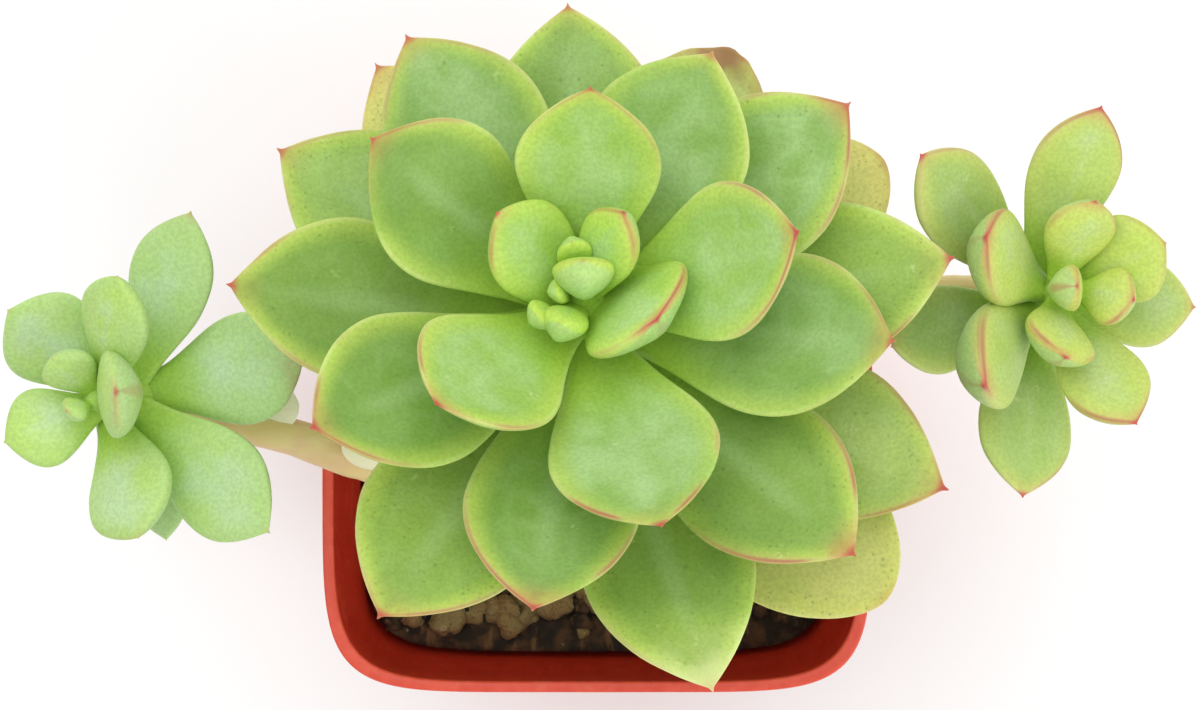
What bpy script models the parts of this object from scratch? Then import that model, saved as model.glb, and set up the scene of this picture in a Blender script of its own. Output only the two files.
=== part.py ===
"""Potted echeveria: a leaning rosette with two offsets on runners, in a square nursery pot.

Units are metres. The origin is the centre of the pot's flat base, +Z is up, +X runs through the two offsets
and +Y is the side that the rosette leans to.
"""
import math
import random
from typing import NamedTuple

import bmesh
import bpy
import numpy as np
from mathutils import Matrix, Vector, noise


class Leaf(NamedTuple):
    """One leaf: azimuth, mean rise, bend and roll in degrees, length, width and thickness in millimetres.

    Its foot is out from the rosette's axis, moved to a side and below its tip, in millimetres.
    """

    azimuth: float
    rise: float
    bend: float
    length: float
    width: float
    thick: float
    roll: float = 0
    out: float = 0
    side: float = 0
    below: float = 0


MM = 0.001
SEED = 7
FIT_GAP = 0.3 * MM
WELD = 0.01 * MM
SMOOTH_ANGLE = 40

# Pot: a square with soft corners at each height, a stepped rim band and four drain holes
POT_HEIGHT = 55 * MM
RIM_HALF = 30 * MM
BAND_HEIGHT = 5 * MM
BAND_STEP = 0.9 * MM
BAND_CHAMFER = 0.6 * MM
BAND_DRAFT = 0.2 * MM
BASE_HALF = 22 * MM
BASE_EDGE = 1.2 * MM
POT_WALL = 1 * MM
CORNER_POWER = 6.5
CORNER_SIDES = 40
DRAIN_RADIUS = 3 * MM
DRAIN_OFFSET = 13 * MM
DRAIN_SIDES = 16

# Soil: low bumps on top, with grit standing out of it and a hole for the stem
SOIL_TOP = 42.5 * MM
SOIL_BUMP = 0.9 * MM
SOIL_BUMP_SIZE = 6 * MM
SOIL_FOOT_CLEAR = 0.5 * MM
SOIL_TOP_CLEAR = 0.1 * MM
SOIL_RINGS = 5
GRIT_COUNT = 60
GRIT_RADIUS = 2.1 * MM
GRIT_SMALLEST = 0.65
GRIT_LARGEST = 1.15
GRIT_STRETCH = (0.8, 1.25)
GRIT_ROUGH = 0.18
GRIT_RAISED = 0.25
GRIT_CROWDING = 0.95
GRIT_SPREAD = 22 * MM
GRIT_FROM_STEM = 0.6 * MM
HOLE_FLOOR = 30 * MM
HOLE_CUT = 30 * MM
HOLE_SIDES = 20

# A leaf: how its outline runs to the tip, and how its body thickens from the foot and thins to the tip
OUTLINE_POWER = 2.6
FOOT_BODY = 0.5
BODY_FULL = 0.45
TIP_POINT = 0.7 * MM
TIP_SHARE = 0.001
MAIN_SHAPE = {"foot": 0.34, "widest": 0.62, "upper": 0.22, "fullness": 2.5, "sides": 10, "rings": 10}
HEART_SHAPE = {"foot": 0.6, "widest": 0.56, "upper": 0.34, "fullness": 4, "sides": 10, "rings": 10}
OFFSET_SHAPE = {"foot": 0.32, "widest": 0.64, "upper": 0.36, "fullness": 3.6, "sides": 8, "rings": 9}
BRACT_SHAPE = {"foot": 0.5, "widest": 0.5, "upper": 0.22, "fullness": 2.5, "sides": 8, "rings": 6}

# Main rosette: its growing tip, its lean and its spiral, with each leaf's own turn, length and rise
APEX = Vector((-1.45, 13.2, 85)) * MM
LEAN = 16
LEAN_TO = 94
TURN = 138.49
FIRST_AZIMUTH = 64.8
OLDEST_LEAF = 33
FALLEN = (27, 30, 32)
AZIMUTH_NUDGE = {
    8: -6, 9: -4, 10: -2, 13: -5, 14: 8, 15: 5, 16: 4, 17: 3, 18: -2, 19: 3, 22: 7, 23: -3, 24: 3, 25: 1, 26: -4,
    28: -9, 29: 7, 31: -8, 33: 2,
}
LENGTH_NUDGE = {
    8: 1.13, 11: 1.06, 16: 1.03, 17: 0.93, 21: 0.92, 22: 0.96, 24: 0.96, 26: 0.88, 29: 0.95, 31: 0.93,
}
WIDTH_NUDGE = {33: 1.12}
HEART_LEAVES = (
    Leaf(193, 74, 20, 3.6, 2.6, 1.8, out=1.6, below=0.4),
    Leaf(219, 62, 30, 5.4, 3.6, 2.4, out=3.2, below=0.8),
    Leaf(272, 88, 30, 7.2, 6.2, 3.9, out=-1.3, side=0.2, below=0.6),
    Leaf(104, 74, 24, 5.8, 3.6, 2.4, out=2.0, below=0.8),
    Leaf(247, 60, 34, 7.4, 4.6, 3.4, out=1.6, below=1.4),
    Leaf(47, 53, 28, 11.0, 7.3, 3.8, out=0.6, side=0.5, below=2.0, roll=-10),
    Leaf(145, 45, 22, 13.4, 10.0, 3.8, out=0.6, below=2.6),
    Leaf(313, 50, 30, 11.8, 13.2, 4.2, out=1.0, side=2.4, below=3.4, roll=4),
)
LEAF_LENGTH = 36.8 * MM
LEAF_WIDTH = 17.6 * MM
LEAF_THICK = 3.2 * MM
LEAF_CUP = 1.2 * MM
LEAF_BEND = 28
LEAF_SPACING = 0.5 * MM
HEART_CUP_WIDTH = 30
BACK_SHORTER = 0.07

# Growth in the main rosette: ages are counted in leaves, from the youngest out
LENGTH_AGE = 10.5
LENGTH_POWER = 1.35
WIDTH_AGE = 6.5
WIDTH_POWER = 1.8
YOUNG_RISE = 88
RISE_AGE = 13
OLD_DROOP = 3
FOOT_RADIUS = 4.5 * MM
FOOT_SUNK = 0.5 * MM
FOOT_AGE = 10
HEAD_TIP = 0.7 * MM
HEAD_ABOVE = 0.8 * MM
HEAD_RADIUS = 5 * MM
HEAD_DEPTH = 17.3 * MM
HEAD_SIDES = 12

# Offsets: growing tip, lean, spacing of leaves and a row for each leaf from the youngest out
LEFT_APEX = Vector((-51.8, 2.2, 73)) * MM
LEFT_LEAN = 24
LEFT_LEAN_TO = 180
LEFT_SPACING = 0.85 * MM
LEFT_LEAVES = (
    Leaf(230, 76, 18, 3.6, 3.2, 2.2), Leaf(114, 52, 18, 6.7, 6.3, 3.4),
    Leaf(66, 24, 18, 14.3, 8.5, 4.2), Leaf(8, 49, 24, 11.6, 9.2, 4.6, out=-1.6),
    Leaf(206, 34, 18, 11.0, 8.8, 4.2), Leaf(300, 20, 26, 15.2, 11.0, 4.6, side=-1.8),
    Leaf(135, 30, 40, 14.2, 11.2, 4.4), Leaf(322, 0, 18, 20.8, 11.5, 4.2),
    Leaf(66, 4, 18, 19.8, 10.2, 4.2, side=0.3), Leaf(13, -6, 18, 18.8, 12.0, 4.2, side=0.3),
    Leaf(277, -10, 18, 14.0, 6.6, 4.0),
)
RIGHT_APEX = Vector((48.6, 13.4, 73)) * MM
RIGHT_LEAN = 17
RIGHT_LEAN_TO = 10
RIGHT_SPACING = 0.75 * MM
RIGHT_LEAVES = (
    Leaf(180, 76, 18, 6.5, 4.8, 3.4), Leaf(340, 54, 28, 7.2, 6.4, 3.6, side=0.5),
    Leaf(84, 44, 24, 11.0, 7.7, 4.0, side=0.8), Leaf(246, 48, 30, 10.6, 8.2, 4.0),
    Leaf(27, 42, 22, 11.9, 9.9, 4.2, side=0.3), Leaf(161, 38, 34, 15.0, 10.2, 5.2, roll=11),
    Leaf(292, 30, 22, 16.0, 9.6, 4.2), Leaf(76, 24, 18, 19.4, 10.0, 4.2, side=2.0),
    Leaf(211, 40, 34, 19.0, 10.8, 6.2, roll=-20, side=0.5), Leaf(355, 18, 18, 14.9, 9.5, 4.2),
    Leaf(143, 24, 18, 22.2, 10.3, 4.2, side=-0.5), Leaf(259, 14, 18, 20.6, 10.8, 4.2),
    Leaf(198, 8, 18, 16.5, 9.5, 4.2),
)
OFFSET_CUP = 0.4 * MM
OFFSET_CUP_WIDTH = 10
OFFSET_FOOT = 0.6 * MM
OFFSET_FOOT_STEP = 0.08 * MM
OFFSET_HEAD_ABOVE = 0.6 * MM
OFFSET_HEAD_TIP = 1.1 * MM
OFFSET_HEAD_RADIUS = 2.6 * MM
OFFSET_HEAD_FULL = 0.55
OFFSET_HEAD_BELOW = 3 * MM

# Stems: the routes are in millimetres, and each ends squarely under its rosette's head
STEM_RADIUS = 3 * MM
STEM_ROUTE = ((0, 0, 30.3), (0, 0, 37), (0, 0, 44), (-0.4, 2.6, 53))
STEM_STRAIGHT = 4.7 * MM
RUNNER_RADIUS = 2 * MM
RUNNER_STRAIGHT = 2.8 * MM
LEFT_ROUTE = (
    (-4.3, 0.6, 50.5), (-12, -3.6, 53.6), (-20, -5.3, 56.0), (-26, -4.6, 57.4), (-32, -2.3, 58.2),
    (-38.5, -0.4, 58.5), (-42.8, 1.0, 58.7),
)
RIGHT_ROUTE = ((3.2, 4.5, 56.0), (14, 9.0, 58.4), (24, 11.4, 59.3), (33, 12.8, 59.8), (40.5, 13.3, 60.8))
LEFT_BRACTS = (
    ((-35.4, -1.0, 59.0), Leaf(60, 35, 20, 7.0, 4.4, 1.5)),
    ((-26.0, -4.2, 58.0), Leaf(20, 30, 20, 7.0, 4.4, 1.5)),
)
BRACT_CUP = 0.3 * MM


def new_object(name, mesh, collection):
    """Link a mesh as a named object in a collection."""
    thing = bpy.data.objects.new(name, mesh)
    collection.objects.link(thing)
    return thing


def new_collection(name):
    """A collection in the scene."""
    made = bpy.data.collections.new(name)
    bpy.context.scene.collection.children.link(made)
    return made


def mesh_from(bm, name):
    """Turn a bmesh into a named mesh."""
    mesh = bpy.data.meshes.new(name)
    bm.to_mesh(mesh)
    bm.free()
    return mesh


def material(name, colour, roughness):
    """A plain Principled material."""
    made = bpy.data.materials.new(name)
    made.use_nodes = True
    shader = made.node_tree.nodes["Principled BSDF"]
    shader.inputs["Base Color"].default_value = (*colour, 1)
    shader.inputs["Roughness"].default_value = roughness
    shader.inputs["Metallic"].default_value = 0
    return made


def evaluated_mesh(thing):
    """The mesh that an object shows with its modifiers, welded where caps are loose."""
    shown = thing.evaluated_get(bpy.context.evaluated_depsgraph_get())
    mesh = bpy.data.meshes.new_from_object(shown)
    bm = bmesh.new()
    bm.from_mesh(mesh)
    bmesh.ops.remove_doubles(bm, verts=bm.verts, dist=WELD)
    bm.to_mesh(mesh)
    bm.free()
    return mesh


def bake(thing):
    """Put an object's modifiers into its mesh."""
    mesh = evaluated_mesh(thing)
    thing.modifiers.clear()
    thing.data = mesh


def join_all(body, collection):
    """Fuse the objects of a collection into a body with one Boolean union, then drop them."""
    union = body.modifiers.new("Union", "BOOLEAN")
    union.operation = "UNION"
    union.solver = "EXACT"
    union.operand_type = "COLLECTION"
    union.collection = collection
    bake(body)
    for thing in list(collection.objects):
        bpy.data.objects.remove(thing)
    bpy.data.collections.remove(collection)


def finish(thing, look, smooth=True):
    """Give a piece its material, and shade it smooth where it is round."""
    thing.data.materials.clear()
    thing.data.materials.append(look)
    if smooth:
        thing.data.shade_smooth()
        thing.data.set_sharp_from_angle(angle=math.radians(SMOOTH_ANGLE))


def cylinder(name, radius, depth, sides, centre):
    """A closed upright cylinder mesh about a centre."""
    bm = bmesh.new()
    bmesh.ops.create_cone(bm, cap_ends=True, segments=sides, radius1=radius, radius2=radius, depth=depth)
    bmesh.ops.translate(bm, verts=bm.verts, vec=centre)
    return mesh_from(bm, name)


def soft_square(half, turn):
    """A point on a square with soft corners, at a turn about its centre: most points lie on the corners."""
    power = 2 / CORNER_POWER
    x = math.copysign(half * abs(math.cos(turn)) ** power, math.cos(turn))
    y = math.copysign(half * abs(math.sin(turn)) ** power, math.sin(turn))
    return x, y


def ring_edges(bm, ring):
    """The edges that run along a closed ring of vertices."""
    return [edge for edge in bm.edges if edge.verts[0] in ring and edge.verts[1] in ring]


def grow_ring(bm, ring):
    """Extrude a closed ring of vertices in place, and give the new ring."""
    grown = bmesh.ops.extrude_edge_only(bm, edges=ring_edges(bm, ring))["geom"]
    return [item for item in grown if isinstance(item, bmesh.types.BMVert)]


def square_shell(bm, stations):
    """A stack of soft squares, closed below and open above, from (half width, height) stations."""
    bmesh.ops.create_circle(bm, cap_ends=True, segments=CORNER_SIDES, radius=1)
    ring = list(bm.verts)
    first_half, first_height = stations[0]
    for vert in ring:
        vert.co = (*soft_square(first_half, math.atan2(vert.co.y, vert.co.x)), first_height)
    last_half = first_half
    for half, height in stations[1:]:
        ring = grow_ring(bm, ring)
        for vert in ring:
            vert.co = (vert.co.x * half / last_half, vert.co.y * half / last_half, height)
        last_half = half
    bmesh.ops.recalc_face_normals(bm, faces=bm.faces)
    return ring


def pot_half(height):
    """Half the pot's outer width on its sloped side, at a height."""
    share = height / (POT_HEIGHT - BAND_HEIGHT)
    top = RIM_HALF - BAND_STEP - BAND_DRAFT
    return BASE_HALF + (top - BASE_HALF) * share


def make_pot(parts, cutters):
    """The square pot: a thin moulded shell with a stepped rim band and four drain holes."""
    band_foot = POT_HEIGHT - BAND_HEIGHT
    bm = bmesh.new()
    square_shell(bm, [
        (BASE_HALF - BASE_EDGE, 0),
        (pot_half(BASE_EDGE), BASE_EDGE),
        (pot_half(band_foot - BAND_CHAMFER), band_foot - BAND_CHAMFER),
        (pot_half(band_foot) + BAND_STEP, band_foot),
        (RIM_HALF, POT_HEIGHT),
    ])
    pot = new_object("pot", mesh_from(bm, "pot"), parts)
    wall = pot.modifiers.new("Wall", "SOLIDIFY")
    wall.thickness = POT_WALL
    wall.offset = -1
    wall.use_even_offset = True
    for side_x in (-1, 1):
        for side_y in (-1, 1):
            centre = (side_x * DRAIN_OFFSET, side_y * DRAIN_OFFSET, 0)
            mesh = cylinder("drain cutter", DRAIN_RADIUS, 6 * POT_WALL, DRAIN_SIDES, centre)
            cutter = new_object("drain_cutter", mesh, cutters)
            cutter.hide_render = True
            cutter.display_type = "WIRE"
    drains = pot.modifiers.new("Drain holes", "BOOLEAN")
    drains.operation = "DIFFERENCE"
    drains.solver = "EXACT"
    drains.operand_type = "COLLECTION"
    drains.collection = cutters
    finish(pot, material("pot plastic", (0.32, 0.035, 0.016), 0.38))


def soil_height(x, y):
    """The soil's top, with low bumps."""
    return SOIL_TOP + SOIL_BUMP * noise.noise(Vector((x, y, 0)) / SOIL_BUMP_SIZE)


def soil_block():
    """The soil without its grit: a block that fills the pot, with a bumpy top."""
    inner = POT_WALL + FIT_GAP
    bm = bmesh.new()
    ring = square_shell(bm, [
        (pot_half(inner) - inner - SOIL_FOOT_CLEAR, inner),
        (pot_half(SOIL_TOP) - inner - SOIL_TOP_CLEAR, SOIL_TOP),
    ])
    for step in range(SOIL_RINGS - 1, 0, -1):
        ring = grow_ring(bm, ring)
        for vert in ring:
            vert.co.x *= step / (step + 1)
            vert.co.y *= step / (step + 1)
    bmesh.ops.contextual_create(bm, geom=ring_edges(bm, ring))
    for vert in bm.verts:
        if vert.co.z > SOIL_TOP - MM:
            vert.co.z = soil_height(vert.co.x, vert.co.y)
    bmesh.ops.recalc_face_normals(bm, faces=bm.faces)
    return mesh_from(bm, "soil")


def grit_grain(x, y, radius, stretch, tilt):
    """One rough grain of grit, standing out of the soil at a place."""
    bm = bmesh.new()
    bmesh.ops.create_icosphere(bm, subdivisions=1, radius=radius)
    for vert in bm.verts:
        vert.co *= 1 + GRIT_ROUGH * noise.noise(vert.co / radius + Vector((x, y, 0)) / MM)
        vert.co.x *= stretch
    place = Matrix.Translation((x, y, soil_height(x, y) + GRIT_RAISED * radius))
    for angle, axis in zip(tilt, "XYZ"):
        place = place @ Matrix.Rotation(angle, 4, axis)
    bm.transform(place)
    return mesh_from(bm, "grain")


def make_soil(parts):
    """The soil that fills the pot, with grit standing out of its top and a hole for the stem."""
    soil = new_object("soil", soil_block(), parts)
    grains = new_collection("Grit grains")
    draw = random.Random(SEED)
    placed = []
    while len(placed) < GRIT_COUNT:
        x = draw.uniform(-GRIT_SPREAD, GRIT_SPREAD)
        y = draw.uniform(-GRIT_SPREAD, GRIT_SPREAD)
        radius = GRIT_RADIUS * draw.uniform(GRIT_SMALLEST, GRIT_LARGEST)
        tilt = [draw.uniform(0, math.tau) for _ in range(3)]
        stretch = draw.uniform(*GRIT_STRETCH)
        near_stem = math.hypot(x, y) < STEM_RADIUS + FIT_GAP + radius + GRIT_FROM_STEM
        near_grain = any(math.hypot(x - px, y - py) < GRIT_CROWDING * (radius + pr) for px, py, pr in placed)
        if near_stem or near_grain:
            continue
        placed.append((x, y, radius))
        new_object("grain", grit_grain(x, y, radius, stretch, tilt), grains)
    join_all(soil, grains)

    centre = (0, 0, HOLE_FLOOR + HOLE_CUT / 2)
    mesh = cylinder("stem hole", STEM_RADIUS + FIT_GAP, HOLE_CUT, HOLE_SIDES, centre)
    hole = new_object("stem_hole", mesh, bpy.context.scene.collection)
    cut = soil.modifiers.new("Stem hole", "BOOLEAN")
    cut.operation = "DIFFERENCE"
    cut.solver = "EXACT"
    cut.object = hole
    bake(soil)
    bpy.data.objects.remove(hole)
    finish(soil, material("potting soil", (0.075, 0.045, 0.02), 0.95), smooth=False)


def ease(share):
    """A smooth rise from 0 to 1."""
    share = min(max(share, 0), 1)
    return share * share * (3 - 2 * share)


def half_outline(along, foot, widest):
    """Half the leaf's width at a share of its length, as a share of its widest half."""
    if along < widest:
        return foot + (1 - foot) * ease(along / widest)
    return 1 - ((along - widest) / (1 - widest)) ** OUTLINE_POWER


def body_share(along, fullness):
    """The leaf's thickness at a share of its length, as a share of its thickest."""
    thinned = max(0, (along - BODY_FULL) / (1 - BODY_FULL)) ** fullness
    return (FOOT_BODY + (1 - FOOT_BODY) * ease(along / BODY_FULL)) * (1 - thinned)


def leaf_mesh(row, cup, shape):
    """A keeled, cupped leaf that leaves the origin along +X at a rise and bends up to its pointed tip.

    The shape gives its foot's width and its widest place as shares, the share of its thickness above its own
    middle, how full its body stays towards the tip, and its sides and rings.
    """
    length, width, thick = row.length * MM, row.width * MM, row.thick * MM
    bm = bmesh.new()
    bmesh.ops.create_uvsphere(bm, u_segments=shape["sides"], v_segments=shape["rings"], radius=1)
    start = math.radians(row.rise - row.bend / 2)
    turn = math.radians(row.bend)
    for vert in bm.verts:
        along = (1 - vert.co.z) / 2
        about = math.atan2(vert.co.y, vert.co.x)
        pole = 0 if math.hypot(vert.co.x, vert.co.y) < TIP_SHARE else 1
        across = width / 2 * half_outline(along, shape["foot"], shape["widest"])
        side = across * math.cos(about) * pole
        face = shape["upper"] if math.sin(about) > 0 else 1 - shape["upper"]
        lift = math.sin(about) * pole * thick * body_share(along, shape["fullness"]) * face + cup * (side / (width / 2)) ** 2
        heading = start + turn * along
        reach = length / turn * (math.sin(heading) - math.sin(start))
        climb = length / turn * (math.cos(start) - math.cos(heading))
        if along > 1 - TIP_SHARE:
            reach += TIP_POINT * width / LEAF_WIDTH * math.cos(heading)
            climb += TIP_POINT * width / LEAF_WIDTH * math.sin(heading)
        vert.co = (reach - lift * math.sin(heading), side, climb + lift * math.cos(heading))
    bmesh.ops.recalc_face_normals(bm, faces=bm.faces)
    mesh = mesh_from(bm, "leaf")
    mesh.transform(Matrix.Rotation(math.radians(row.roll), 4, (math.cos(start), 0, math.sin(start))))
    return mesh


def leaning_frame(apex, lean, lean_to):
    """The frame at a growing tip: +Z is the rosette's own axis, and azimuths stay the world's."""
    direction = math.radians(lean_to)
    hinge = Vector((-math.sin(direction), math.cos(direction), 0))
    return Matrix.Translation(apex) @ Matrix.Rotation(math.radians(lean), 4, hinge)


def grow_leaf(row, cup, shape, frame, collection):
    """Model a leaf, turn it about its rosette's axis, and set its foot out from the axis and below the tip."""
    mesh = leaf_mesh(row, cup, shape)
    spot = Matrix.Translation(Vector((row.out, row.side, -row.below)) * MM)
    mesh.transform(frame @ Matrix.Rotation(math.radians(row.azimuth), 4, "Z") @ spot)
    new_object("leaf", mesh, collection)


def turned_head(name, outline, frame, parts):
    """The stem head that a rosette's leaves grow from: a profile turned about the rosette's axis."""
    bm = bmesh.new()
    verts = [bm.verts.new((radius, 0, height)) for radius, height in outline]
    for first, second in zip(verts, verts[1:]):
        bm.edges.new((first, second))
    head = new_object(name, mesh_from(bm, name), parts)
    screw = head.modifiers.new("Turn", "SCREW")
    screw.steps = HEAD_SIDES
    screw.render_steps = HEAD_SIDES
    screw.use_merge_vertices = True
    screw.merge_threshold = WELD
    bake(head)
    head.data.transform(frame)
    return head


def make_main_rosette(parts):
    """The main rosette: leaves in a spiral on one stem head, upright inside and flat outside."""
    frame = leaning_frame(APEX, LEAN, LEAN_TO)
    outline = [(0, HEAD_ABOVE)]
    for age in range(0, OLDEST_LEAF + 1, 3):
        grown = 1 - math.exp(-age / FOOT_AGE)
        outline.append((HEAD_TIP + (HEAD_RADIUS - HEAD_TIP) * grown, -age * LEAF_SPACING))
    outline.append((outline[-1][0], -HEAD_DEPTH))
    outline.append((0, -HEAD_DEPTH))
    rosette = turned_head("main_rosette", outline, frame, parts)
    leaves = new_collection("Main leaves")
    for row in HEART_LEAVES:
        grow_leaf(row, LEAF_CUP * row.width / HEART_CUP_WIDTH, HEART_SHAPE, frame, leaves)
    for age in range(len(HEART_LEAVES), OLDEST_LEAF + 1):
        if age in FALLEN:
            continue
        long = 1 - math.exp(-((age + 1) / LENGTH_AGE) ** LENGTH_POWER)
        wide = 1 - math.exp(-((age + 1) / WIDTH_AGE) ** WIDTH_POWER)
        azimuth = FIRST_AZIMUTH + TURN * age + AZIMUTH_NUDGE.get(age, 0)
        to_back = math.sin(math.radians(azimuth))
        length = LEAF_LENGTH * long * LENGTH_NUDGE.get(age, 1) * (1 - BACK_SHORTER * to_back)
        width = LEAF_WIDTH * wide * WIDTH_NUDGE.get(age, 1)
        rise = YOUNG_RISE * math.exp(-age / RISE_AGE) - OLD_DROOP
        foot = FOOT_RADIUS * (1 - math.exp(-age / FOOT_AGE)) - FOOT_SUNK
        row = Leaf(azimuth, rise, LEAF_BEND, length / MM, width / MM, LEAF_THICK / MM,
                   out=foot / MM, below=age * LEAF_SPACING / MM)
        grow_leaf(row, LEAF_CUP, MAIN_SHAPE, frame, leaves)
    join_all(rosette, leaves)
    finish(rosette, material("main leaf skin", (0.24, 0.42, 0.12), 0.55))


def offset_depth(spacing, rows):
    """How far an offset's head reaches below its growing tip."""
    return spacing * (len(rows) - 1) + OFFSET_HEAD_BELOW


def make_offset(name, frame, spacing, rows, colour, parts):
    """A young rosette of spoon leaves at the end of a runner."""
    depth = offset_depth(spacing, rows)
    rosette = turned_head(name, [
        (0, OFFSET_HEAD_ABOVE),
        (OFFSET_HEAD_TIP, 0),
        (OFFSET_HEAD_RADIUS, -OFFSET_HEAD_FULL * depth),
        (OFFSET_HEAD_RADIUS, -depth),
        (0, -depth),
    ], frame, parts)
    leaves = new_collection(name + " leaves")
    for rank, row in enumerate(rows):
        out = (OFFSET_FOOT + OFFSET_FOOT_STEP * rank) / MM
        row = row._replace(out=row.out + out, below=spacing * rank / MM)
        grow_leaf(row, OFFSET_CUP * row.width / OFFSET_CUP_WIDTH, OFFSET_SHAPE, frame, leaves)
    join_all(rosette, leaves)
    finish(rosette, material(name + " skin", colour, 0.5))


def smooth_route(points, per_span=3):
    """Points along a smooth curve through a route's own points."""
    line = np.array(points, float)
    padded = np.vstack([2 * line[0] - line[1], line, 2 * line[-1] - line[-2]])
    result = []
    for start in range(len(line) - 1):
        before, first, last, after = padded[start:start + 4]
        for step in range(per_span):
            share = step / per_span
            result.append(0.5 * (2 * first + (last - before) * share
                                 + (2 * before - 5 * first + 4 * last - after) * share ** 2
                                 + (3 * first - before - 3 * last + after) * share ** 3))
    result.append(line[-1])
    return result


def tube(name, points, radius, parts):
    """A round stem along a route, made as a bevelled curve and turned into a welded mesh."""
    route = smooth_route(points)
    curve = bpy.data.curves.new(name, "CURVE")
    curve.dimensions = "3D"
    curve.bevel_depth = radius
    curve.bevel_resolution = 2
    curve.use_fill_caps = True
    spline = curve.splines.new("POLY")
    spline.points.add(len(route) - 1)
    for point, place in zip(spline.points, route):
        point.co = (*place, 1)
    guide = new_object(name + " route", curve, parts)
    mesh = evaluated_mesh(guide)
    mesh.transform(guide.matrix_world)
    bpy.data.objects.remove(guide)
    return new_object(name, mesh, parts)


def seated_route(route, frame, depth, straight):
    """A route in metres that ends in a straight stretch, squarely under a rosette's head."""
    end = frame @ Vector((0, 0, -depth - FIT_GAP))
    before = frame @ Vector((0, 0, -depth - FIT_GAP - straight))
    return [tuple(value * MM for value in point) for point in route] + [tuple(before), tuple(end)]


def make_main_stem(frame, parts):
    """The short stem, upright in the soil and leaning above it to the rosette's head."""
    route = seated_route(STEM_ROUTE, frame, HEAD_DEPTH, STEM_STRAIGHT)
    stem = tube("main_stem", route, STEM_RADIUS, parts)
    finish(stem, material("stem bark", (0.33, 0.25, 0.12), 0.7))


def make_runner(name, route, frame, depth, bracts, parts):
    """A runner that lies over the rim, from beside the main stem to an offset's head, with its bracts."""
    runner = tube(name, seated_route(route, frame, depth, RUNNER_STRAIGHT), RUNNER_RADIUS, parts)
    if bracts:
        scales = new_collection(name + " bracts")
        for place, row in bracts:
            grow_leaf(row, BRACT_CUP, BRACT_SHAPE, Matrix.Translation(Vector(place) * MM), scales)
        join_all(runner, scales)
    finish(runner, material(name + " skin", (0.42, 0.3, 0.13), 0.5))


def main():
    """Build every piece of the potted plant."""
    for thing in list(bpy.data.objects):
        bpy.data.objects.remove(thing)
    parts = new_collection("Potted echeveria")
    cutters = new_collection("Cutters")
    left_frame = leaning_frame(LEFT_APEX, LEFT_LEAN, LEFT_LEAN_TO)
    right_frame = leaning_frame(RIGHT_APEX, RIGHT_LEAN, RIGHT_LEAN_TO)
    make_pot(parts, cutters)
    make_soil(parts)
    make_main_stem(leaning_frame(APEX, LEAN, LEAN_TO), parts)
    make_main_rosette(parts)
    make_offset("left_offset", left_frame, LEFT_SPACING, LEFT_LEAVES, (0.4, 0.6, 0.26), parts)
    make_offset("right_offset", right_frame, RIGHT_SPACING, RIGHT_LEAVES, (0.38, 0.56, 0.16), parts)
    left_depth = offset_depth(LEFT_SPACING, LEFT_LEAVES)
    right_depth = offset_depth(RIGHT_SPACING, RIGHT_LEAVES)
    make_runner("left_runner", LEFT_ROUTE, left_frame, left_depth, LEFT_BRACTS, parts)
    make_runner("right_runner", RIGHT_ROUTE, right_frame, right_depth, (), parts)


main()
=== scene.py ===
"""Potted echeveria: the finish of every piece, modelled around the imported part.

Units are metres, in the part's own frame: the origin is the centre of the pot's base, and +Z is up.
"""
import math
import random
from typing import NamedTuple

import bmesh
import bpy
import numpy as np
from bpy.props import FloatProperty, FloatVectorProperty, IntProperty, PointerProperty
from mathutils import Matrix, Vector, noise


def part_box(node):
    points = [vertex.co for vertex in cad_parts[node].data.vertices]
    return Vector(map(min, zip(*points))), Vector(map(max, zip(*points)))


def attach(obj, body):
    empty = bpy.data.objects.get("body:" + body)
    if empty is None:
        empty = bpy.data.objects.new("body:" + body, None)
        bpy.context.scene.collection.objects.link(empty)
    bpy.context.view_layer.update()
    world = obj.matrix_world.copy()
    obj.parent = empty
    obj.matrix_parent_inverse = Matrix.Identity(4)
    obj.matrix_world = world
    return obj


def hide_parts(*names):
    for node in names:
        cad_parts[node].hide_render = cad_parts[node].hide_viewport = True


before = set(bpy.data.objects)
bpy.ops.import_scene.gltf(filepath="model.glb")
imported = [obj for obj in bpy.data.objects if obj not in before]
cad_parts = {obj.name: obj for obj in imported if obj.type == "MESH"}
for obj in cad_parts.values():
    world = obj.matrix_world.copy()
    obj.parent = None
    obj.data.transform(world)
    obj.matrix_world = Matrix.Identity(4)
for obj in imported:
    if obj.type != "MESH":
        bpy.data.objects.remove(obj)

bl_info = {
    "name": "Potted echeveria",
    "version": (1, 0, 0),
    "blender": (4, 5, 0),
    "location": "3D View > Sidebar > Echeveria",
    "description": "Models a potted echeveria with two offsets, and its stage",
    "category": "Add Mesh",
}


class Leaf(NamedTuple):
    """One leaf: azimuth, mean rise, bend and roll in degrees, length, width and thickness in millimetres.

    Its foot is out from the rosette's axis, moved to a side and below its tip, in millimetres. Red is the
    share of colour on its margins, keel that on its back, deep the share of dark green painted as shade
    (partly an older leaf's own darker green), and dried that of brown on its tip.
    """

    azimuth: float
    rise: float
    bend: float
    length: float
    width: float
    thick: float
    red: float = 0
    keel: float = 0
    roll: float = 0
    deep: float = 0
    out: float = 0
    side: float = 0
    below: float = 0
    dried: float = 0


MM = 0.001
SEED = 7
POT_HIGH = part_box("pot")[1]
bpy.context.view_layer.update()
WELD = 0.01 * MM

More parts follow.
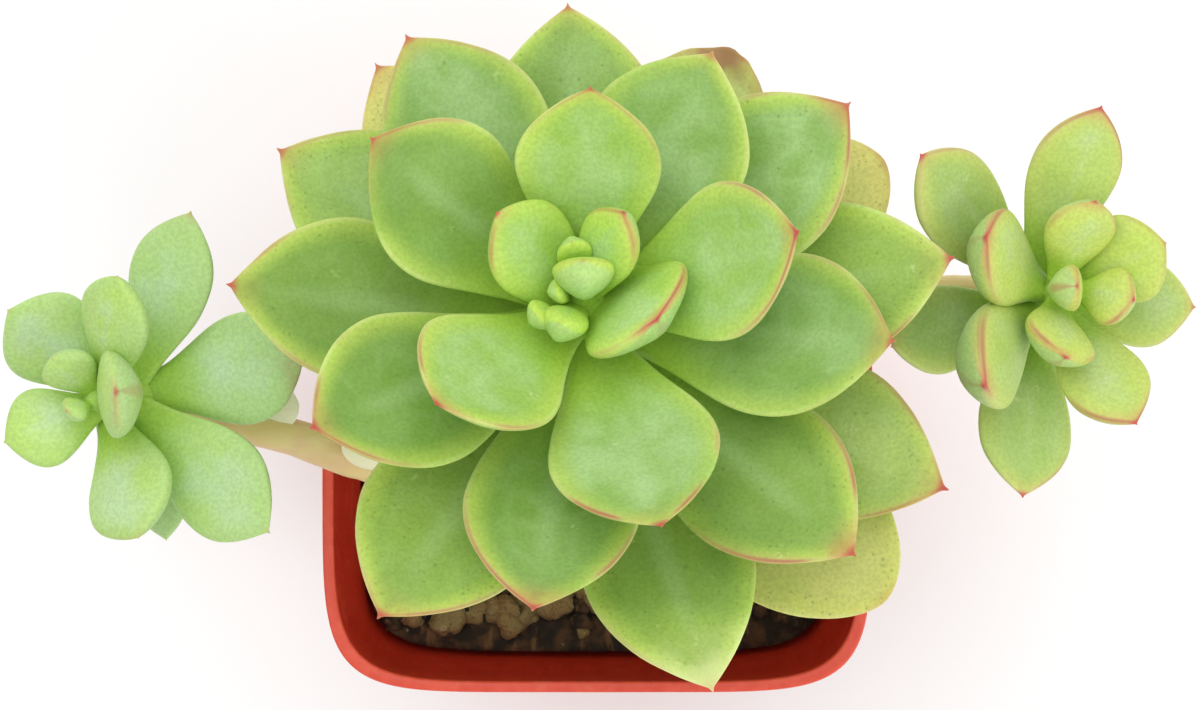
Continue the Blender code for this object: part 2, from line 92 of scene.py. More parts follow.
# Pot: a square with soft corners at each height. RIM_LIP, BAND_WALL and DRAIN_DEPTH are counted in walls
POT_SIDES = 120
CORNER_POWER = 6.5
BASE_HALF = 22 * MM
BASE_EDGE = 1.2 * MM
BASE_ROUND = 0.35 * BASE_EDGE
BAND_DRAFT = 0.2 * MM
BAND_CHAMFER = 0.6 * MM
RIM_LIP = 1.2
BAND_WALL = 1.3
BAND_FLOOR = 0.5 * MM
INSIDE_STEP = 2.5 * MM
POT_BEVEL = 0.32 * MM
BEVEL_ANGLE = math.radians(35)
SHARP_ANGLE = math.radians(32)
# Painted highlight on the rim: none this far below its top, full this close to it
RIM_HIGHLIGHT_FROM = 0.9 * MM
RIM_HIGHLIGHT_FULL = 0.15 * MM
DRAIN_RADIUS = 3 * MM
DRAIN_OFFSET = 13 * MM
DRAIN_DEPTH = 6
DRAIN_SIDES = 32

# Soil: low bumps and a crumbly top, heaped against the front wall
FIT_GAP = 0.3 * MM
SOIL_CELLS = 90
SOIL_TOP_CLEAR = 0.1 * MM
SOIL_FOOT_CLEAR = 0.5 * MM
SOIL_BUMP = 0.9 * MM
SOIL_BUMP_SIZE = 6 * MM
CRUMBLE = 0.5 * MM
CRUMBLE_SIZE = 1.6 * MM
FINE_CRUMBLE = 0.2 * MM
FINE_CRUMBLE_SIZE = 0.7 * MM
HEAP_FROM = 16 * MM
HEAP_DEPTH = 9 * MM
HEAP_HEIGHT = 2.6 * MM

# Grit: the same seeded draws as the part's own grains, then chips at the front and crumbs all over
GRIT_COUNT = 60
GRIT_SIZES = (0.65, 1.15)
GRIT_STRETCH = (0.8, 1.25)
GRIT_RAISED = 0.25
GRIT_CROWDING = 0.95
GRIT_SPREAD = 22 * MM
GRIT_FROM_STEM = 0.6 * MM
GRIT_INSIDE = 0.97
CHIPS_AT = (-9 * MM, -21 * MM)
CHIPS_SPREAD = (9 * MM, 3 * MM)
CHIPS_REACH = 25.6 * MM
CHIP_RADIUS = (0.7 * MM, 1.9 * MM)
CHIP_STRETCH = (0.8, 1.3)
CHIP_RAISED = 0.2
CRUMB_SPREAD = 1.08 * GRIT_SPREAD
CRUMB_RADIUS = (0.35 * MM, 1.1 * MM)
CRUMB_STRETCH = (0.8, 1.7)
CRUMB_RAISED = 0.4
PEBBLES = 3
PEBBLE_ROUGH = 0.38
CRUMB_ROUGH = 0.6
LUMPS = 1.1
PITS = 2.6
PITS_DEPTH = 0.4

# Leaf laws: shares run from the foot, at 0, to the tip, at 1. Unevenness is a depth and a grain size
FOOT_BODY = 0.5
BODY_FULL = 0.45
KEEL_POWER = 1.5
NO_WIDTH = 0.0001
LEAST_HALF = 0.001
LEAF_STATIONS = (
    0, 0.05, 0.11, 0.18, 0.26, 0.34, 0.42, 0.5, 0.57, 0.63, 0.69, 0.75, 0.805, 0.855, 0.9, 0.94, 0.97, 0.986,
    0.995, 1.004,
)
MUCRO_FROM = 0.98
MUCRO_TIP = 1.015
MUCRO_HALF = 0.045
MUCRO_BODY = 0.1
LEAF_UNEVEN = (0.22 * MM, 5 * MM)
WRINKLES = (0.8 * MM, 3 * MM)
HEAD_UNEVEN = (0.5 * MM, 2 * MM)
STEM_UNEVEN = (0.35 * MM, 2.5 * MM)

# Main rosette: its growing tip, its lean and its spiral, with each leaf's own turn, length and width
APEX = Vector((-1.45, 13.2, 85)) * MM
LEAN = 16
LEAN_TO = 94
TURN = 138.49
FIRST_AZIMUTH = 64.8
OLDEST_LEAF = 33
FALLEN = (27, 30, 32)
AZIMUTH_NUDGE = {
    8: -6, 9: -4, 10: -2, 13: -5, 14: 8, 15: 5, 16: 4, 17: 3, 18: -2, 19: 3, 22: 7, 23: -3, 24: 3, 25: 1,
    26: -4, 28: -9, 29: 7, 31: -8, 33: 2,
}
LENGTH_NUDGE = {
    8: 1.13, 11: 1.06, 16: 1.03, 17: 0.93, 21: 0.92, 22: 0.96, 24: 0.96, 26: 0.88, 29: 0.95, 31: 0.93,
}
WIDTH_NUDGE = {22: 1.08, 33: 1.12}
BACK_SHORTER = 0.07
HEART_CUP_WIDTH = 30
HEART_LEAVES = (
    Leaf(193, 74, 20, 3.6, 2.6, 1.8, out=1.6, below=0.4),
    Leaf(219, 62, 30, 5.4, 3.6, 2.4, out=3.2, below=0.8),
    Leaf(272, 88, 30, 7.2, 6.2, 3.9, red=0.15, out=-1.3, side=0.2, below=0.6),
    Leaf(104, 74, 24, 5.8, 3.6, 2.4, out=2.0, below=0.8),
    Leaf(247, 60, 34, 7.4, 4.6, 3.4, out=1.6, below=1.4),
    Leaf(47, 53, 28, 11.0, 7.3, 3.8, red=0.7, out=0.6, side=0.5, below=2.0, roll=-10),
    Leaf(145, 45, 22, 13.4, 10.0, 3.8, red=0.8, deep=0.35, out=0.6, below=2.6),
    Leaf(313, 50, 30, 11.8, 13.2, 4.2, red=1.0, keel=0.2, out=1.0, side=2.4, below=3.4, roll=4),
)
LEAF_SPACING = 0.5 * MM
LENGTH_AGE = 10.5
LENGTH_POWER = 1.35
WIDTH_AGE = 6.5
WIDTH_POWER = 1.8
YOUNG_RISE = 88
RISE_AGE = 13
OLD_DROOP = 3
FOOT_RADIUS = 4.5 * MM
FOOT_SUNK = 0.5 * MM
FOOT_AGE = 10
HEAD_TIP = 0.7 * MM
HEAD_ABOVE = 0.8 * MM
HEAD_RADIUS = 5 * MM
HEAD_DEPTH = 17.3 * MM
HEAD_FADES = 0.5
HEAD_POINT = 0.3
HEAD_SIDES = 24
HEAD_LEAVES_A_RING = 3
HEAD_AGE = 0.3
HEAD_FORM = (0.1, 3, 0.5)

# Colouring of single leaves of the main rosette: red of the margin, dark green as painted shade (partly an
# older leaf's own darker green), yellowing, and a dried tip
MARGIN_RED = {
    8: 0.45, 9: 0.8, 10: 0.85, 11: 0.6, 12: 1.0, 13: 0.3, 14: 0.8, 15: 0.8, 16: 0.5, 17: 0.9, 18: 0.9,
    19: 0.7, 20: 1.0, 21: 0.4, 22: 0.8, 23: 0.9, 24: 0.4, 25: 0.35, 26: 0.3, 28: 0.7, 29: 0.4, 31: 0.2,
    33: 0.1,
}
# Painted shade: dark green laid on leaves that sit low or under others, partly an older leaf's own darker
# green
PAINTED_SHADE_GREEN = {
    8: 0.3, 9: 0.2, 11: 0.75, 12: 0.1, 13: 0.3, 14: 0.8, 15: 0.5, 16: 0.1, 17: 0.75, 18: 0.3, 19: 0.9,
    20: 0.85, 21: 0.5, 22: 0.8, 23: 1.0, 24: 0.25, 25: 0.95, 28: 0.35,
}
YELLOWED = {26: 0.45, 28: 0.15, 29: 0.9, 31: 0.95, 33: 0.7}
DRIED_TIP = {25: 0.35, 26: 0.9}
BLUNT_LEAVES = (26, 31, 33)
WRINKLED = (26,)

# Offsets: growing tip, lean, spacing of leaves, and a row for each leaf from the youngest out
LEFT_APEX = Vector((-51.8, 2.2, 73)) * MM
LEFT_LEAN = 24
LEFT_LEAN_TO = 180
LEFT_SPACING = 0.85 * MM
LEFT_LEAVES = (
    Leaf(230, 76, 18, 3.6, 3.2, 2.2, red=0.3),
    Leaf(114, 52, 18, 6.7, 6.3, 3.4),
    Leaf(66, 24, 18, 14.3, 8.5, 4.2),
    Leaf(8, 49, 24, 11.6, 9.2, 4.6, red=0.4, keel=0.3, out=-1.6),
    Leaf(206, 34, 18, 11.0, 8.8, 4.2),
    Leaf(300, 20, 26, 15.2, 11.0, 4.6, red=0.1, side=-1.8),
    Leaf(135, 30, 40, 14.2, 11.2, 4.4),
    Leaf(322, 0, 18, 20.8, 11.5, 4.2),
    Leaf(66, 4, 18, 19.8, 10.2, 4.2, red=0.1, side=0.3),
    Leaf(13, -6, 18, 18.8, 12.0, 4.2, side=0.3, dried=0.55),
    Leaf(277, -10, 18, 14.0, 6.6, 4.0),
)
RIGHT_APEX = Vector((48.6, 13.4, 73)) * MM
RIGHT_LEAN = 17
RIGHT_LEAN_TO = 10
RIGHT_SPACING = 0.75 * MM
RIGHT_LEAVES = (
    Leaf(180, 76, 18, 6.5, 4.8, 3.4, red=0.7, keel=0.5),
    Leaf(340, 54, 28, 7.2, 6.4, 3.6, red=0.9, keel=0.3, side=0.5),
    Leaf(84, 44, 24, 11.0, 7.7, 4.0, red=0.9, side=0.8),
    Leaf(246, 48, 30, 10.6, 8.2, 4.0, red=0.9, keel=0.3),
    Leaf(27, 42, 22, 11.9, 9.9, 4.2, red=0.2, side=0.3),
    Leaf(161, 38, 34, 15.0, 10.2, 5.2, red=0.85, keel=0.2, roll=11),
    Leaf(292, 30, 22, 16.0, 9.6, 4.2, red=0.8),
    Leaf(76, 24, 18, 19.4, 10.0, 4.2, red=0.8, side=2.0),
    Leaf(211, 40, 34, 19.0, 10.8, 6.2, red=0.85, keel=0.2, roll=-20, side=0.5),
    Leaf(355, 18, 18, 14.9, 9.5, 4.2, red=0.3),
    Leaf(143, 24, 18, 22.2, 10.3, 4.2, red=0.5, deep=0.4, side=-0.5),
    Leaf(259, 14, 18, 20.6, 10.8, 4.2, red=0.5),
    Leaf(198, 8, 18, 16.5, 9.5, 4.2, red=0.2),
)
OFFSET_CUP_WIDTH = 10
OFFSET_FOOT = 0.6 * MM
OFFSET_FOOT_STEP = 0.08 * MM
OFFSET_HEAD_ABOVE = 0.6 * MM
OFFSET_HEAD_TIP = 1.1 * MM
OFFSET_HEAD_RADIUS = 2.6 * MM
OFFSET_HEAD_FULL = 0.55
OFFSET_HEAD_BELOW = 3 * MM
OFFSET_AGE = 0.06
OFFSET_AGE_STEP = 0.025

# Stems: routes in millimetres, each ending squarely under its rosette's head, with swellings by point
STEM_ROUTE = ((0, 0, 30.3), (0, 0, 37), (0, 0, 44), (-0.4, 2.6, 53))
STEM_SWELLINGS = {2: 1.06, 3: 0.96}
STEM_STRAIGHT = 4.7 * MM
RUNNER_STRAIGHT = 2.8 * MM
LEFT_ROUTE = (
    (-4.3, 0.6, 50.5), (-12, -3.6, 53.6), (-20, -5.3, 56.0), (-26, -4.6, 57.4), (-32, -2.3, 58.2),
    (-38.5, -0.4, 58.5), (-42.8, 1.0, 58.7),
)
LEFT_SWELLINGS = {1: 0.97, 3: 1.06, 5: 1.05}
RIGHT_ROUTE = ((3.2, 4.5, 56.0), (14, 9.0, 58.4), (24, 11.4, 59.3), (33, 12.8, 59.8), (40.5, 13.3, 60.8))
RIGHT_SWELLINGS = {1: 0.97, 3: 1.04}
LEFT_BRACTS = (
    ((-38.0, 0.6, 59.8), Leaf(8, 6, 14, 6.2, 5.2, 1.4)),
    ((-20.8, -3.6, 59.0), Leaf(176, 10, -16, 6.8, 4.6, 1.5)),
)
BRACT_CUP = -0.7 * MM

# Stage: the camera looks straight down on the plant, and two soft lights aim at its middle
CAMERA_AT = (0.3 * MM, 6.8 * MM)
SENSOR_WIDTH = 36
CLIP_START = 0.01
FLOOR_SIZE = 4
FLOOR_DROP = 0.05 * MM
KEY_AT = (-0.1, 0.26, 0.58)
KEY_WIDTH = 0.7
FILL_AT = (0.35, -0.25, 0.35)
FILL_WIDTH = 0.4
LIGHT_AIM = (0, 0, 0.05)


def seen(red, green, blue):
    """A colour as the eye sees it, from 0 to 255, as the linear values that a shader takes."""
    shares = (value / 255 for value in (red, green, blue))
    return tuple(s / 12.92 if s <= 0.04045 else ((s + 0.055) / 1.055) ** 2.4 for s in shares)


def hue(label, told, red, green, blue):
    """A colour setting, with its default given as the eye sees it."""
    return FloatVectorProperty(
        name=label, description=told, subtype="COLOR", size=3, min=0, max=1, default=seen(red, green, blue))


def amount(label, told, default, **limits):
    """A number setting."""
    return FloatProperty(name=label, description=told, default=default, **limits)


def size(label, told, default):
    """A length setting."""
    return amount(label, told, default, unit="LENGTH", precision=5)


def count(label, told, default):
    """A setting for a number of pieces."""
    return IntProperty(name=label, description=told, default=default, min=0)


class PotSettings(bpy.types.PropertyGroup):
    """Sizes and colour of the pot."""

    height: size("Height", "Height of the pot", POT_HIGH.z)
    rim_half: size("Rim half width", "Half the pot's width across its rim", POT_HIGH.x)
    band_height: size("Band height", "Height of the stepped band under the rim", 5 * MM)
    band_step: size("Band step", "How far the band stands out of the wall", 0.9 * MM)
    wall: size("Wall", "Thickness of the moulded wall", 1 * MM)
    plastic: hue("Plastic", "Colour of the moulded plastic", 200, 50, 30)
    # Colour of the painted highlight along the rim's top
    rim_highlight: hue("Highlight", "Paler plastic along the rim", 232, 92, 70)


class SoilSettings(bpy.types.PropertyGroup):
    """Sizes, counts and colours of the soil and its grit."""

    top: size("Top", "Height of the soil's top", 42.5 * MM)
    grain_radius: size("Grain radius", "Radius of a middling grain of grit", 2.1 * MM)
    crumbs: count("Crumbs", "How many loose crumbs lie on the soil", 420)
    chips: count("Chips", "How many small chips of grit lie at the front", 48)
    dark: hue("Dark", "Colour of the damp soil", 34, 24, 15)
    brown: hue("Brown", "Colour of the dry crumbs", 78, 54, 32)
    pumice: hue("Pumice", "Colour of the grit", 130, 112, 70)


class StemSettings(bpy.types.PropertyGroup):
    """Sizes and colours of the main stem and the runners."""

    stem_radius: size("Stem radius", "Radius of the main stem", 3 * MM)
    runner_radius: size("Runner radius", "Radius of a runner", 2 * MM)
    bark: hue("Bark", "Colour of the main stem's bark", 150, 128, 92)
    skin: hue("Skin", "Colour of a runner's skin", 234, 208, 142)
    flush: hue("Flush", "Pink along a runner's sides", 226, 178, 146)
    bract: hue("Bract", "Colour of the bracts on a runner", 250, 244, 212)


class MainLeafSettings(bpy.types.PropertyGroup):
    """Sizes and colours of a full-grown leaf of the main rosette."""

    length: size("Length", "Length of a full-grown leaf", 36.8 * MM)
    width: size("Width", "Width of a full-grown leaf", 17.6 * MM)
    thickness: size("Thickness", "Thickness of a full-grown leaf", 3.2 * MM)
    cup: size("Cup", "How far a leaf's margins rise above its middle", 1.2 * MM)
    bend: amount("Bend", "Turn from foot to tip", math.radians(28), subtype="ANGLE")
    young: hue("Young", "Colour of the leaves in the heart", 180, 222, 80)
    grown: hue("Grown", "Colour of a full-grown leaf's middle", 136, 176, 80)
    deep: hue("Deep", "Dark green of shaded leaves", 104, 142, 46)
    margin: hue("Margin", "Colour towards a leaf's margins", 194, 218, 98)
    bloom: hue("Bloom", "Pale wax over the leaf", 182, 214, 150)


class LeftOffsetSettings(bpy.types.PropertyGroup):
    """Colours of the left offset's leaves."""

    cup: size("Cup", "How far a leaf's margins rise above its middle", 0.4 * MM)
    young: hue("Young", "Colour of the youngest leaves", 180, 212, 84)
    grown: hue("Grown", "Colour of a grown leaf's middle", 164, 202, 140)
    deep: hue("Deep", "Dark green of shaded leaves", 126, 168, 84)
    margin: hue("Margin", "Colour towards a leaf's margins", 174, 204, 134)
    bloom: hue("Bloom", "Pale wax over the leaf", 188, 216, 176)


class RightOffsetSettings(bpy.types.PropertyGroup):
    """Colours of the right offset's leaves."""

    cup: size("Cup", "How far a leaf's margins rise above its middle", 0.4 * MM)
    young: hue("Young", "Colour of the youngest leaves", 194, 214, 84)
    grown: hue("Grown", "Colour of a grown leaf's middle", 150, 182, 98)
    deep: hue("Deep", "Dark green of shaded leaves", 142, 172, 78)
    margin: hue("Margin", "Colour towards a leaf's margins", 192, 204, 106)
    bloom: hue("Bloom", "Pale wax over the leaf", 188, 208, 148)


class LeafMarkSettings(bpy.types.PropertyGroup):
    """Colours of the marks that all the leaves share."""

    foot: hue("Foot", "Fresh green at a leaf's foot", 160, 200, 62)
    under: hue("Underside", "Colour of a leaf's back", 172, 204, 138)
    # Lip colours the pale margin line, which is partly a painted highlight, and also the scuffs and dried
    # tips
    lip: hue("Lip", "Pale line along a leaf's margin", 220, 230, 168)
    red: hue("Red", "Brownish red of the margins", 172, 92, 80)
    crimson: hue("Crimson", "Red of the tips", 188, 62, 74)
    peach: hue("Peach", "Warm flush inside the margins", 206, 172, 108)
    speck: hue("Speck", "Dark specks of the older leaves", 82, 104, 40)
    scorch: hue("Scorch", "Brown of dried tips", 160, 120, 80)
    faded: hue("Faded", "Yellow of the oldest leaves", 226, 216, 130)


class StageSettings(bpy.types.PropertyGroup):
    """Camera, floor and light."""

    camera_height: size("Camera height", "Height of the camera above the surface", 375 * MM)
    lens: amount("Lens", "Focal length for the sensor's width", 88.08, min=1)
    floor: hue("Floor", "Colour of the floor", 250, 253, 253)
    sky: amount("Sky", "Strength of the even light from all sides", 0.66, min=0)
    key: amount("Key", "Power of the large light overhead", 2.45, min=0, unit="POWER")
    fill: amount("Fill", "Power of the light from the side", 1.0, min=0, unit="POWER")


class Desk:
    """Short calls that add and link the shader nodes of one material, with its colour so far."""

    def __init__(self, name, colour):
        self.colour = colour
        self.material = bpy.data.materials.new(name)
        self.material.use_nodes = True
        self.tree = self.material.node_tree
        self.shader = self.tree.nodes["Principled BSDF"]
        self.place = self.add("TexCoord").outputs["Object"]

    def add(self, kind, **settings):
        """A new node with its settings."""
        node = self.tree.nodes.new("ShaderNode" + kind)
        for name, value in settings.items():
            setattr(node, name, value)
        return node

    def feed(self, socket, value):
        """Link an output into a socket, or set the socket to a plain value."""
        if isinstance(value, bpy.types.NodeSocket):
            self.tree.links.new(value, socket)
        elif hasattr(value, "__len__") and len(socket.default_value) == 4:
            socket.default_value = (*value, 1)
        else:
            socket.default_value = value

    def set(self, **values):
        """Feed the shader's own sockets. Words are joined with _."""
        for name, value in values.items():
            self.feed(self.shader.inputs[name.replace("_", " ").title()], value)

    def maths(self, operation, first, second=0.0):
        """One sum on two values."""
        node = self.add("Math", operation=operation)
        self.feed(node.inputs[0], first)
        self.feed(node.inputs[1], second)
        return node.outputs[0]

    def times(self, *values):
        """The product of several values."""
        product = values[0]
        for value in values[1:]:
            product = self.maths("MULTIPLY", product, value)
        return product

    def ramp(self, value, low, high, start=0.0, end=1.0):
        """A smooth change from start to end, as a value goes from low to high."""
        node = self.add("MapRange", interpolation_type="SMOOTHSTEP")
        for socket, given in zip(node.inputs, (value, low, high, start, end)):
            self.feed(socket, given)
        return node.outputs[0]

    def mix(self, share, first, second):
        """A colour between two colours."""
        node = self.add("Mix", data_type="RGBA")
        self.feed(node.inputs[0], share)
        self.feed(node.inputs[6], first)
        self.feed(node.inputs[7], second)
        return node.outputs[2]

    def paint(self, colour, *shares):
        """Lay a colour over the colour so far, by the product of some shares."""
        self.colour = self.mix(self.times(*shares), self.colour, colour)

    def light(self, share):
        """Make the colour so far lighter or darker by a share."""
        node = self.add("VectorMath", operation="SCALE")
        self.feed(node.inputs[0], self.colour)
        self.feed(node.inputs[3], share)
        self.colour = node.outputs[0]

    def coat(self, roughness, specular=0.5):
        """Give the shader the colour so far, with how rough and how shiny it is."""
        self.set(base_color=self.colour, roughness=roughness)
        self.shader.inputs["Specular IOR Level"].default_value = specular

    def soften(self, weight, radius):
        """Let light into the surface, about a millimetre deep."""
        self.set(subsurface_weight=weight, subsurface_radius=radius, subsurface_scale=1 * MM)

    def noise(self, scale, detail=2.0, stretch=(1, 1, 1)):
        """Soft noise in the part's own space, with its scale in features a metre."""
        mapping = self.add("Mapping")
        mapping.inputs["Scale"].default_value = stretch
        self.feed(mapping.inputs["Vector"], self.place)
        node = self.add("TexNoise")
        node.inputs["Scale"].default_value = scale
        node.inputs["Detail"].default_value = detail
        self.feed(node.inputs["Vector"], mapping.outputs[0])
        return node.outputs["Fac"]

    def wavering(self, push, scale):
        """The part's own space, pushed about by noise, by a distance in metres."""
        node = self.add("TexNoise")
        node.inputs["Scale"].default_value = scale
        node.inputs["Detail"].default_value = 0
        self.feed(node.inputs["Vector"], self.place)
        pushed = self.add("VectorMath", operation="MULTIPLY_ADD")
        self.feed(pushed.inputs[0], node.outputs["Color"])
        self.feed(pushed.inputs[1], (push, push, push))
        self.feed(pushed.inputs[2], self.place)
        return pushed.outputs[0]

    def dots(self, scale, radius, chance):
        """Ragged dots of several sizes: one in each cell of a loose grid, in a share of the cells."""
        node = self.add("TexVoronoi")
        node.inputs["Scale"].default_value = scale
        self.feed(node.inputs["Vector"], self.wavering(0.35 / scale, 2.5 * scale))
        drawn = self.add("SeparateColor")
        self.feed(drawn.inputs[0], node.outputs["Color"])
        kept = self.maths("LESS_THAN", drawn.outputs[0], chance)
        reach = self.times(self.ramp(drawn.outputs[1], 0.0, 1.0, 0.35, 1.0), radius)
        return self.times(self.ramp(node.outputs["Distance"], 0, reach, 1.0, 0.0), kept)

    def veins(self, scale, width):
        """A net of soft lines between loose cells."""
        node = self.add("TexVoronoi", feature="DISTANCE_TO_EDGE")
        node.inputs["Scale"].default_value = scale
        self.feed(node.inputs["Vector"], self.wavering(0.6 / scale, scale))
        return self.ramp(node.outputs["Distance"], 0, width, 1.0, 0.0)

    def attribute(self, name):
        """The three values of a piece's own vector attribute."""
        node = self.add("Attribute", attribute_name=name)
        parts = self.add("SeparateXYZ")
        self.feed(parts.inputs[0], node.outputs["Vector"])
        return parts.outputs[0], parts.outputs[1], parts.outputs[2]

    def bump(self, height, distance, strength=1.0):
        """Fine relief, with its depth in metres."""
        node = self.add("Bump")
        node.inputs["Strength"].default_value = strength
        node.inputs["Distance"].default_value = distance
        self.feed(node.inputs["Height"], height)
        self.feed(self.shader.inputs["Normal"], node.outputs[0])


class LeafDesk(Desk):
    """A desk for a leaf's skin, with what its mesh keeps and the noises that its layers share."""

    def __init__(self, name, hues):
        super().__init__(name, hues.young)
        self.form = self.attribute("form")
        self.growth_and_shade = self.attribute("growth_and_shade")
        self.marks = self.attribute("marks")
        self.cloud = self.noise(170, 3.0)
        self.drift = self.noise(75, 2.0)
        self.grain = self.noise(2600, 1.5)


def paint_flesh(desk, hues, marks):
    """Young to grown green, dark green as painted shade, clouds and veins of pale wax, and yellow-green
    towards margins and foot.
    """
    along, edge, keel = desk.form
    age, yellowing, deep = desk.growth_and_shade
    cloud, drift = desk.cloud, desk.drift
    desk.paint(hues.grown, desk.ramp(age, 0.08, 0.42))
    # Painted shade: dark green by the leaf's deep share, which also thins the wax
    desk.paint(hues.deep, deep, desk.ramp(drift, 0.25, 0.6, 1.0, 0.6))
    wax = desk.times(desk.ramp(cloud, 0.35, 0.7, 0.15, 0.7), desk.ramp(deep, 0.0, 1.0, 1.0, 0.1))
    desk.paint(hues.bloom, wax, desk.ramp(edge, 0.5, 4.0, 0.4, 1.0))
    net = desk.times(desk.veins(210, 0.16), desk.ramp(drift, 0.4, 0.65), desk.ramp(edge, 1.5, 4.0))
    desk.paint(hues.bloom, net, desk.ramp(deep, 0.0, 1.0, 0.26, 0.08))
    to_margin = desk.ramp(edge, 0.2, 3.4, 1.0, 0.0)
    desk.paint(hues.margin, to_margin, desk.ramp(drift, 0.3, 0.65, 0.35, 1.0), 0.8)
    desk.paint(hues.margin, desk.ramp(age, 0.5, 0.75), desk.ramp(drift, 0.35, 0.65, 0.1, 0.4))
    desk.paint(marks.foot, desk.ramp(along, 0.15, 0.5, 0.8, 0.0))
    middle = desk.times(desk.ramp(keel, 0.97, 1.0), desk.ramp(along, 0.3, 0.5))
    desk.paint(hues.bloom, middle, desk.ramp(along, 0.7, 0.9, 1.0, 0.0), 0.25)
    desk.paint(marks.under, desk.ramp(keel, -0.5, -0.1, 0.6, 0.0))
    desk.paint(marks.faded, yellowing, desk.ramp(cloud, 0.2, 0.6, 0.7, 1.0))
    desk.light(desk.ramp(desk.grain, 0.3, 0.7, 0.92, 1.06))


def paint_specks(desk, marks):
    """Dark specks and spots on the older leaves, most towards the margins, and pale scuffs on all."""
    edge, keel = desk.form[1:]
    aged = desk.times(desk.ramp(desk.growth_and_shade[0], 0.4, 0.75), desk.ramp(keel, -0.3, 0.0))
    aged = desk.times(aged, desk.ramp(edge, 1.0, 5.0, 1.0, 0.2))
    desk.paint(marks.speck, desk.dots(1900, 0.55, desk.times(aged, 0.7)), 0.4)
    desk.paint(marks.speck, desk.dots(640, 0.26, desk.times(aged, 0.3)), 0.38)
    desk.paint(marks.lip, desk.dots(500, 0.5, 0.08), desk.ramp(desk.grain, 0.45, 0.6), 0.35)


def paint_margin(desk, marks):
    """A thin red line towards the tip, broken, warm inside it and with a pale lip, partly a painted
    highlight on the rounded edge, and a blushing tip.
    """
    along, edge, keel = desk.form
    redness = desk.marks[0]
    upper = desk.ramp(keel, -0.6, -0.3)
    near_tip = desk.ramp(along, 0.5, 0.9)
    broken = desk.ramp(desk.noise(110, 1.0), 0.36, 0.58)
    desk.paint(marks.peach, desk.ramp(edge, 0.2, 1.8, 1.0, 0.0), near_tip, broken, redness, upper, 0.45)
    # Pale lip: partly the margin's own pale line, partly a painted highlight on the leaf's rounded edge
    pale = desk.times(desk.ramp(edge, 0.3, 0.8, 1.0, 0.0), desk.ramp(desk.drift, 0.35, 0.6))
    desk.paint(marks.lip, pale, desk.ramp(desk.growth_and_shade[0], 0.15, 0.3), upper, 0.3)
    glow = desk.times(desk.ramp(along, 0.86, 1.0), desk.ramp(desk.cloud, 0.25, 0.55, 0.4, 1.0))
    desk.paint(marks.peach, glow, redness, upper, 0.45)
    inside = desk.times(desk.ramp(edge, 0.0, 0.22, 0.35, 1.0), desk.ramp(edge, 0.3, 0.75, 1.0, 0.0))
    desk.paint(marks.red, inside, near_tip, broken, redness, desk.ramp(keel, -0.2, 0.0), 0.85)
    blush = desk.times(desk.ramp(along, 0.9, 1.0), desk.ramp(desk.cloud, 0.35, 0.6))
    desk.paint(marks.crimson, blush, redness, upper, 0.5)
    desk.paint(marks.crimson, desk.ramp(along, 0.968, 1.0), desk.ramp(redness, 0.0, 0.5, 0.2, 1.0), 0.9)


def paint_back_and_tip(desk, marks):
    """A red line down the keel of a leaf's back, and a dried tip."""
    along, _, keel = desk.form
    _, keel_red, dried = desk.marks
    desk.paint(marks.red, desk.ramp(keel, -0.995, -0.95, 1.0, 0.0), desk.ramp(along, 0.5, 0.75), keel_red)
    dry = desk.times(desk.ramp(along, 0.8, 0.97), desk.ramp(desk.cloud, 0.35, 0.55, 0.2, 1.0))
    brown = desk.mix(desk.ramp(dried, 0.35, 0.6), marks.lip, marks.scorch)
    desk.paint(brown, dry, desk.ramp(dried, 0.0, 0.6))


def leaf_skin(name, hues, marks):
    """Waxy succulent skin: cloudy green, yellow-green margins, red lines and tips, and specks with age."""
    desk = LeafDesk(name, hues)
    paint_flesh(desk, hues, marks)
    paint_specks(desk, marks)
    paint_margin(desk, marks)
    paint_back_and_tip(desk, marks)
    desk.coat(desk.ramp(desk.cloud, 0.25, 0.75, 0.46, 0.62), 0.35)
    desk.soften(0.25, (1.0, 1.5, 0.45))
    desk.bump(desk.maths("ADD", desk.times(desk.cloud, 0.7), desk.times(desk.grain, 0.08)), 0.25 * MM)
    return desk.material


def pot_plastic(settings):
    """Moulded plastic with a satin skin, faint draw marks, dust, and a painted highlight along the top of
    the rim.
    """
    desk = Desk("pot plastic", settings.plastic)
    draw = desk.noise(260, 3.0, (1, 1, 0.08))
    dust = desk.noise(700, 4.0)
    height = desk.add("SeparateXYZ")
    desk.feed(height.inputs[0], desk.place)
    desk.paint(seen(146, 28, 14), desk.ramp(draw, 0.3, 0.7, 0.0, 0.16))
    # Painted highlight: the top of the rim is paler, where the overhead light falls on it
    rim = desk.ramp(height.outputs["Z"], settings.height - RIM_HIGHLIGHT_FROM, settings.height - RIM_HIGHLIGHT_FULL)
    desk.paint(settings.rim_highlight, rim, desk.ramp(dust, 0.3, 0.7, 0.6, 0.9))
    desk.paint(seen(196, 150, 122), desk.ramp(dust, 0.58, 0.75), 0.1)
    desk.coat(desk.ramp(dust, 0.3, 0.7, 0.3, 0.46), 0.4)
    desk.soften(0.2, (1.0, 0.3, 0.2))
    desk.bump(desk.maths("ADD", desk.times(draw, 0.6), desk.times(dust, 0.15)), 0.06 * MM)
    return desk.material


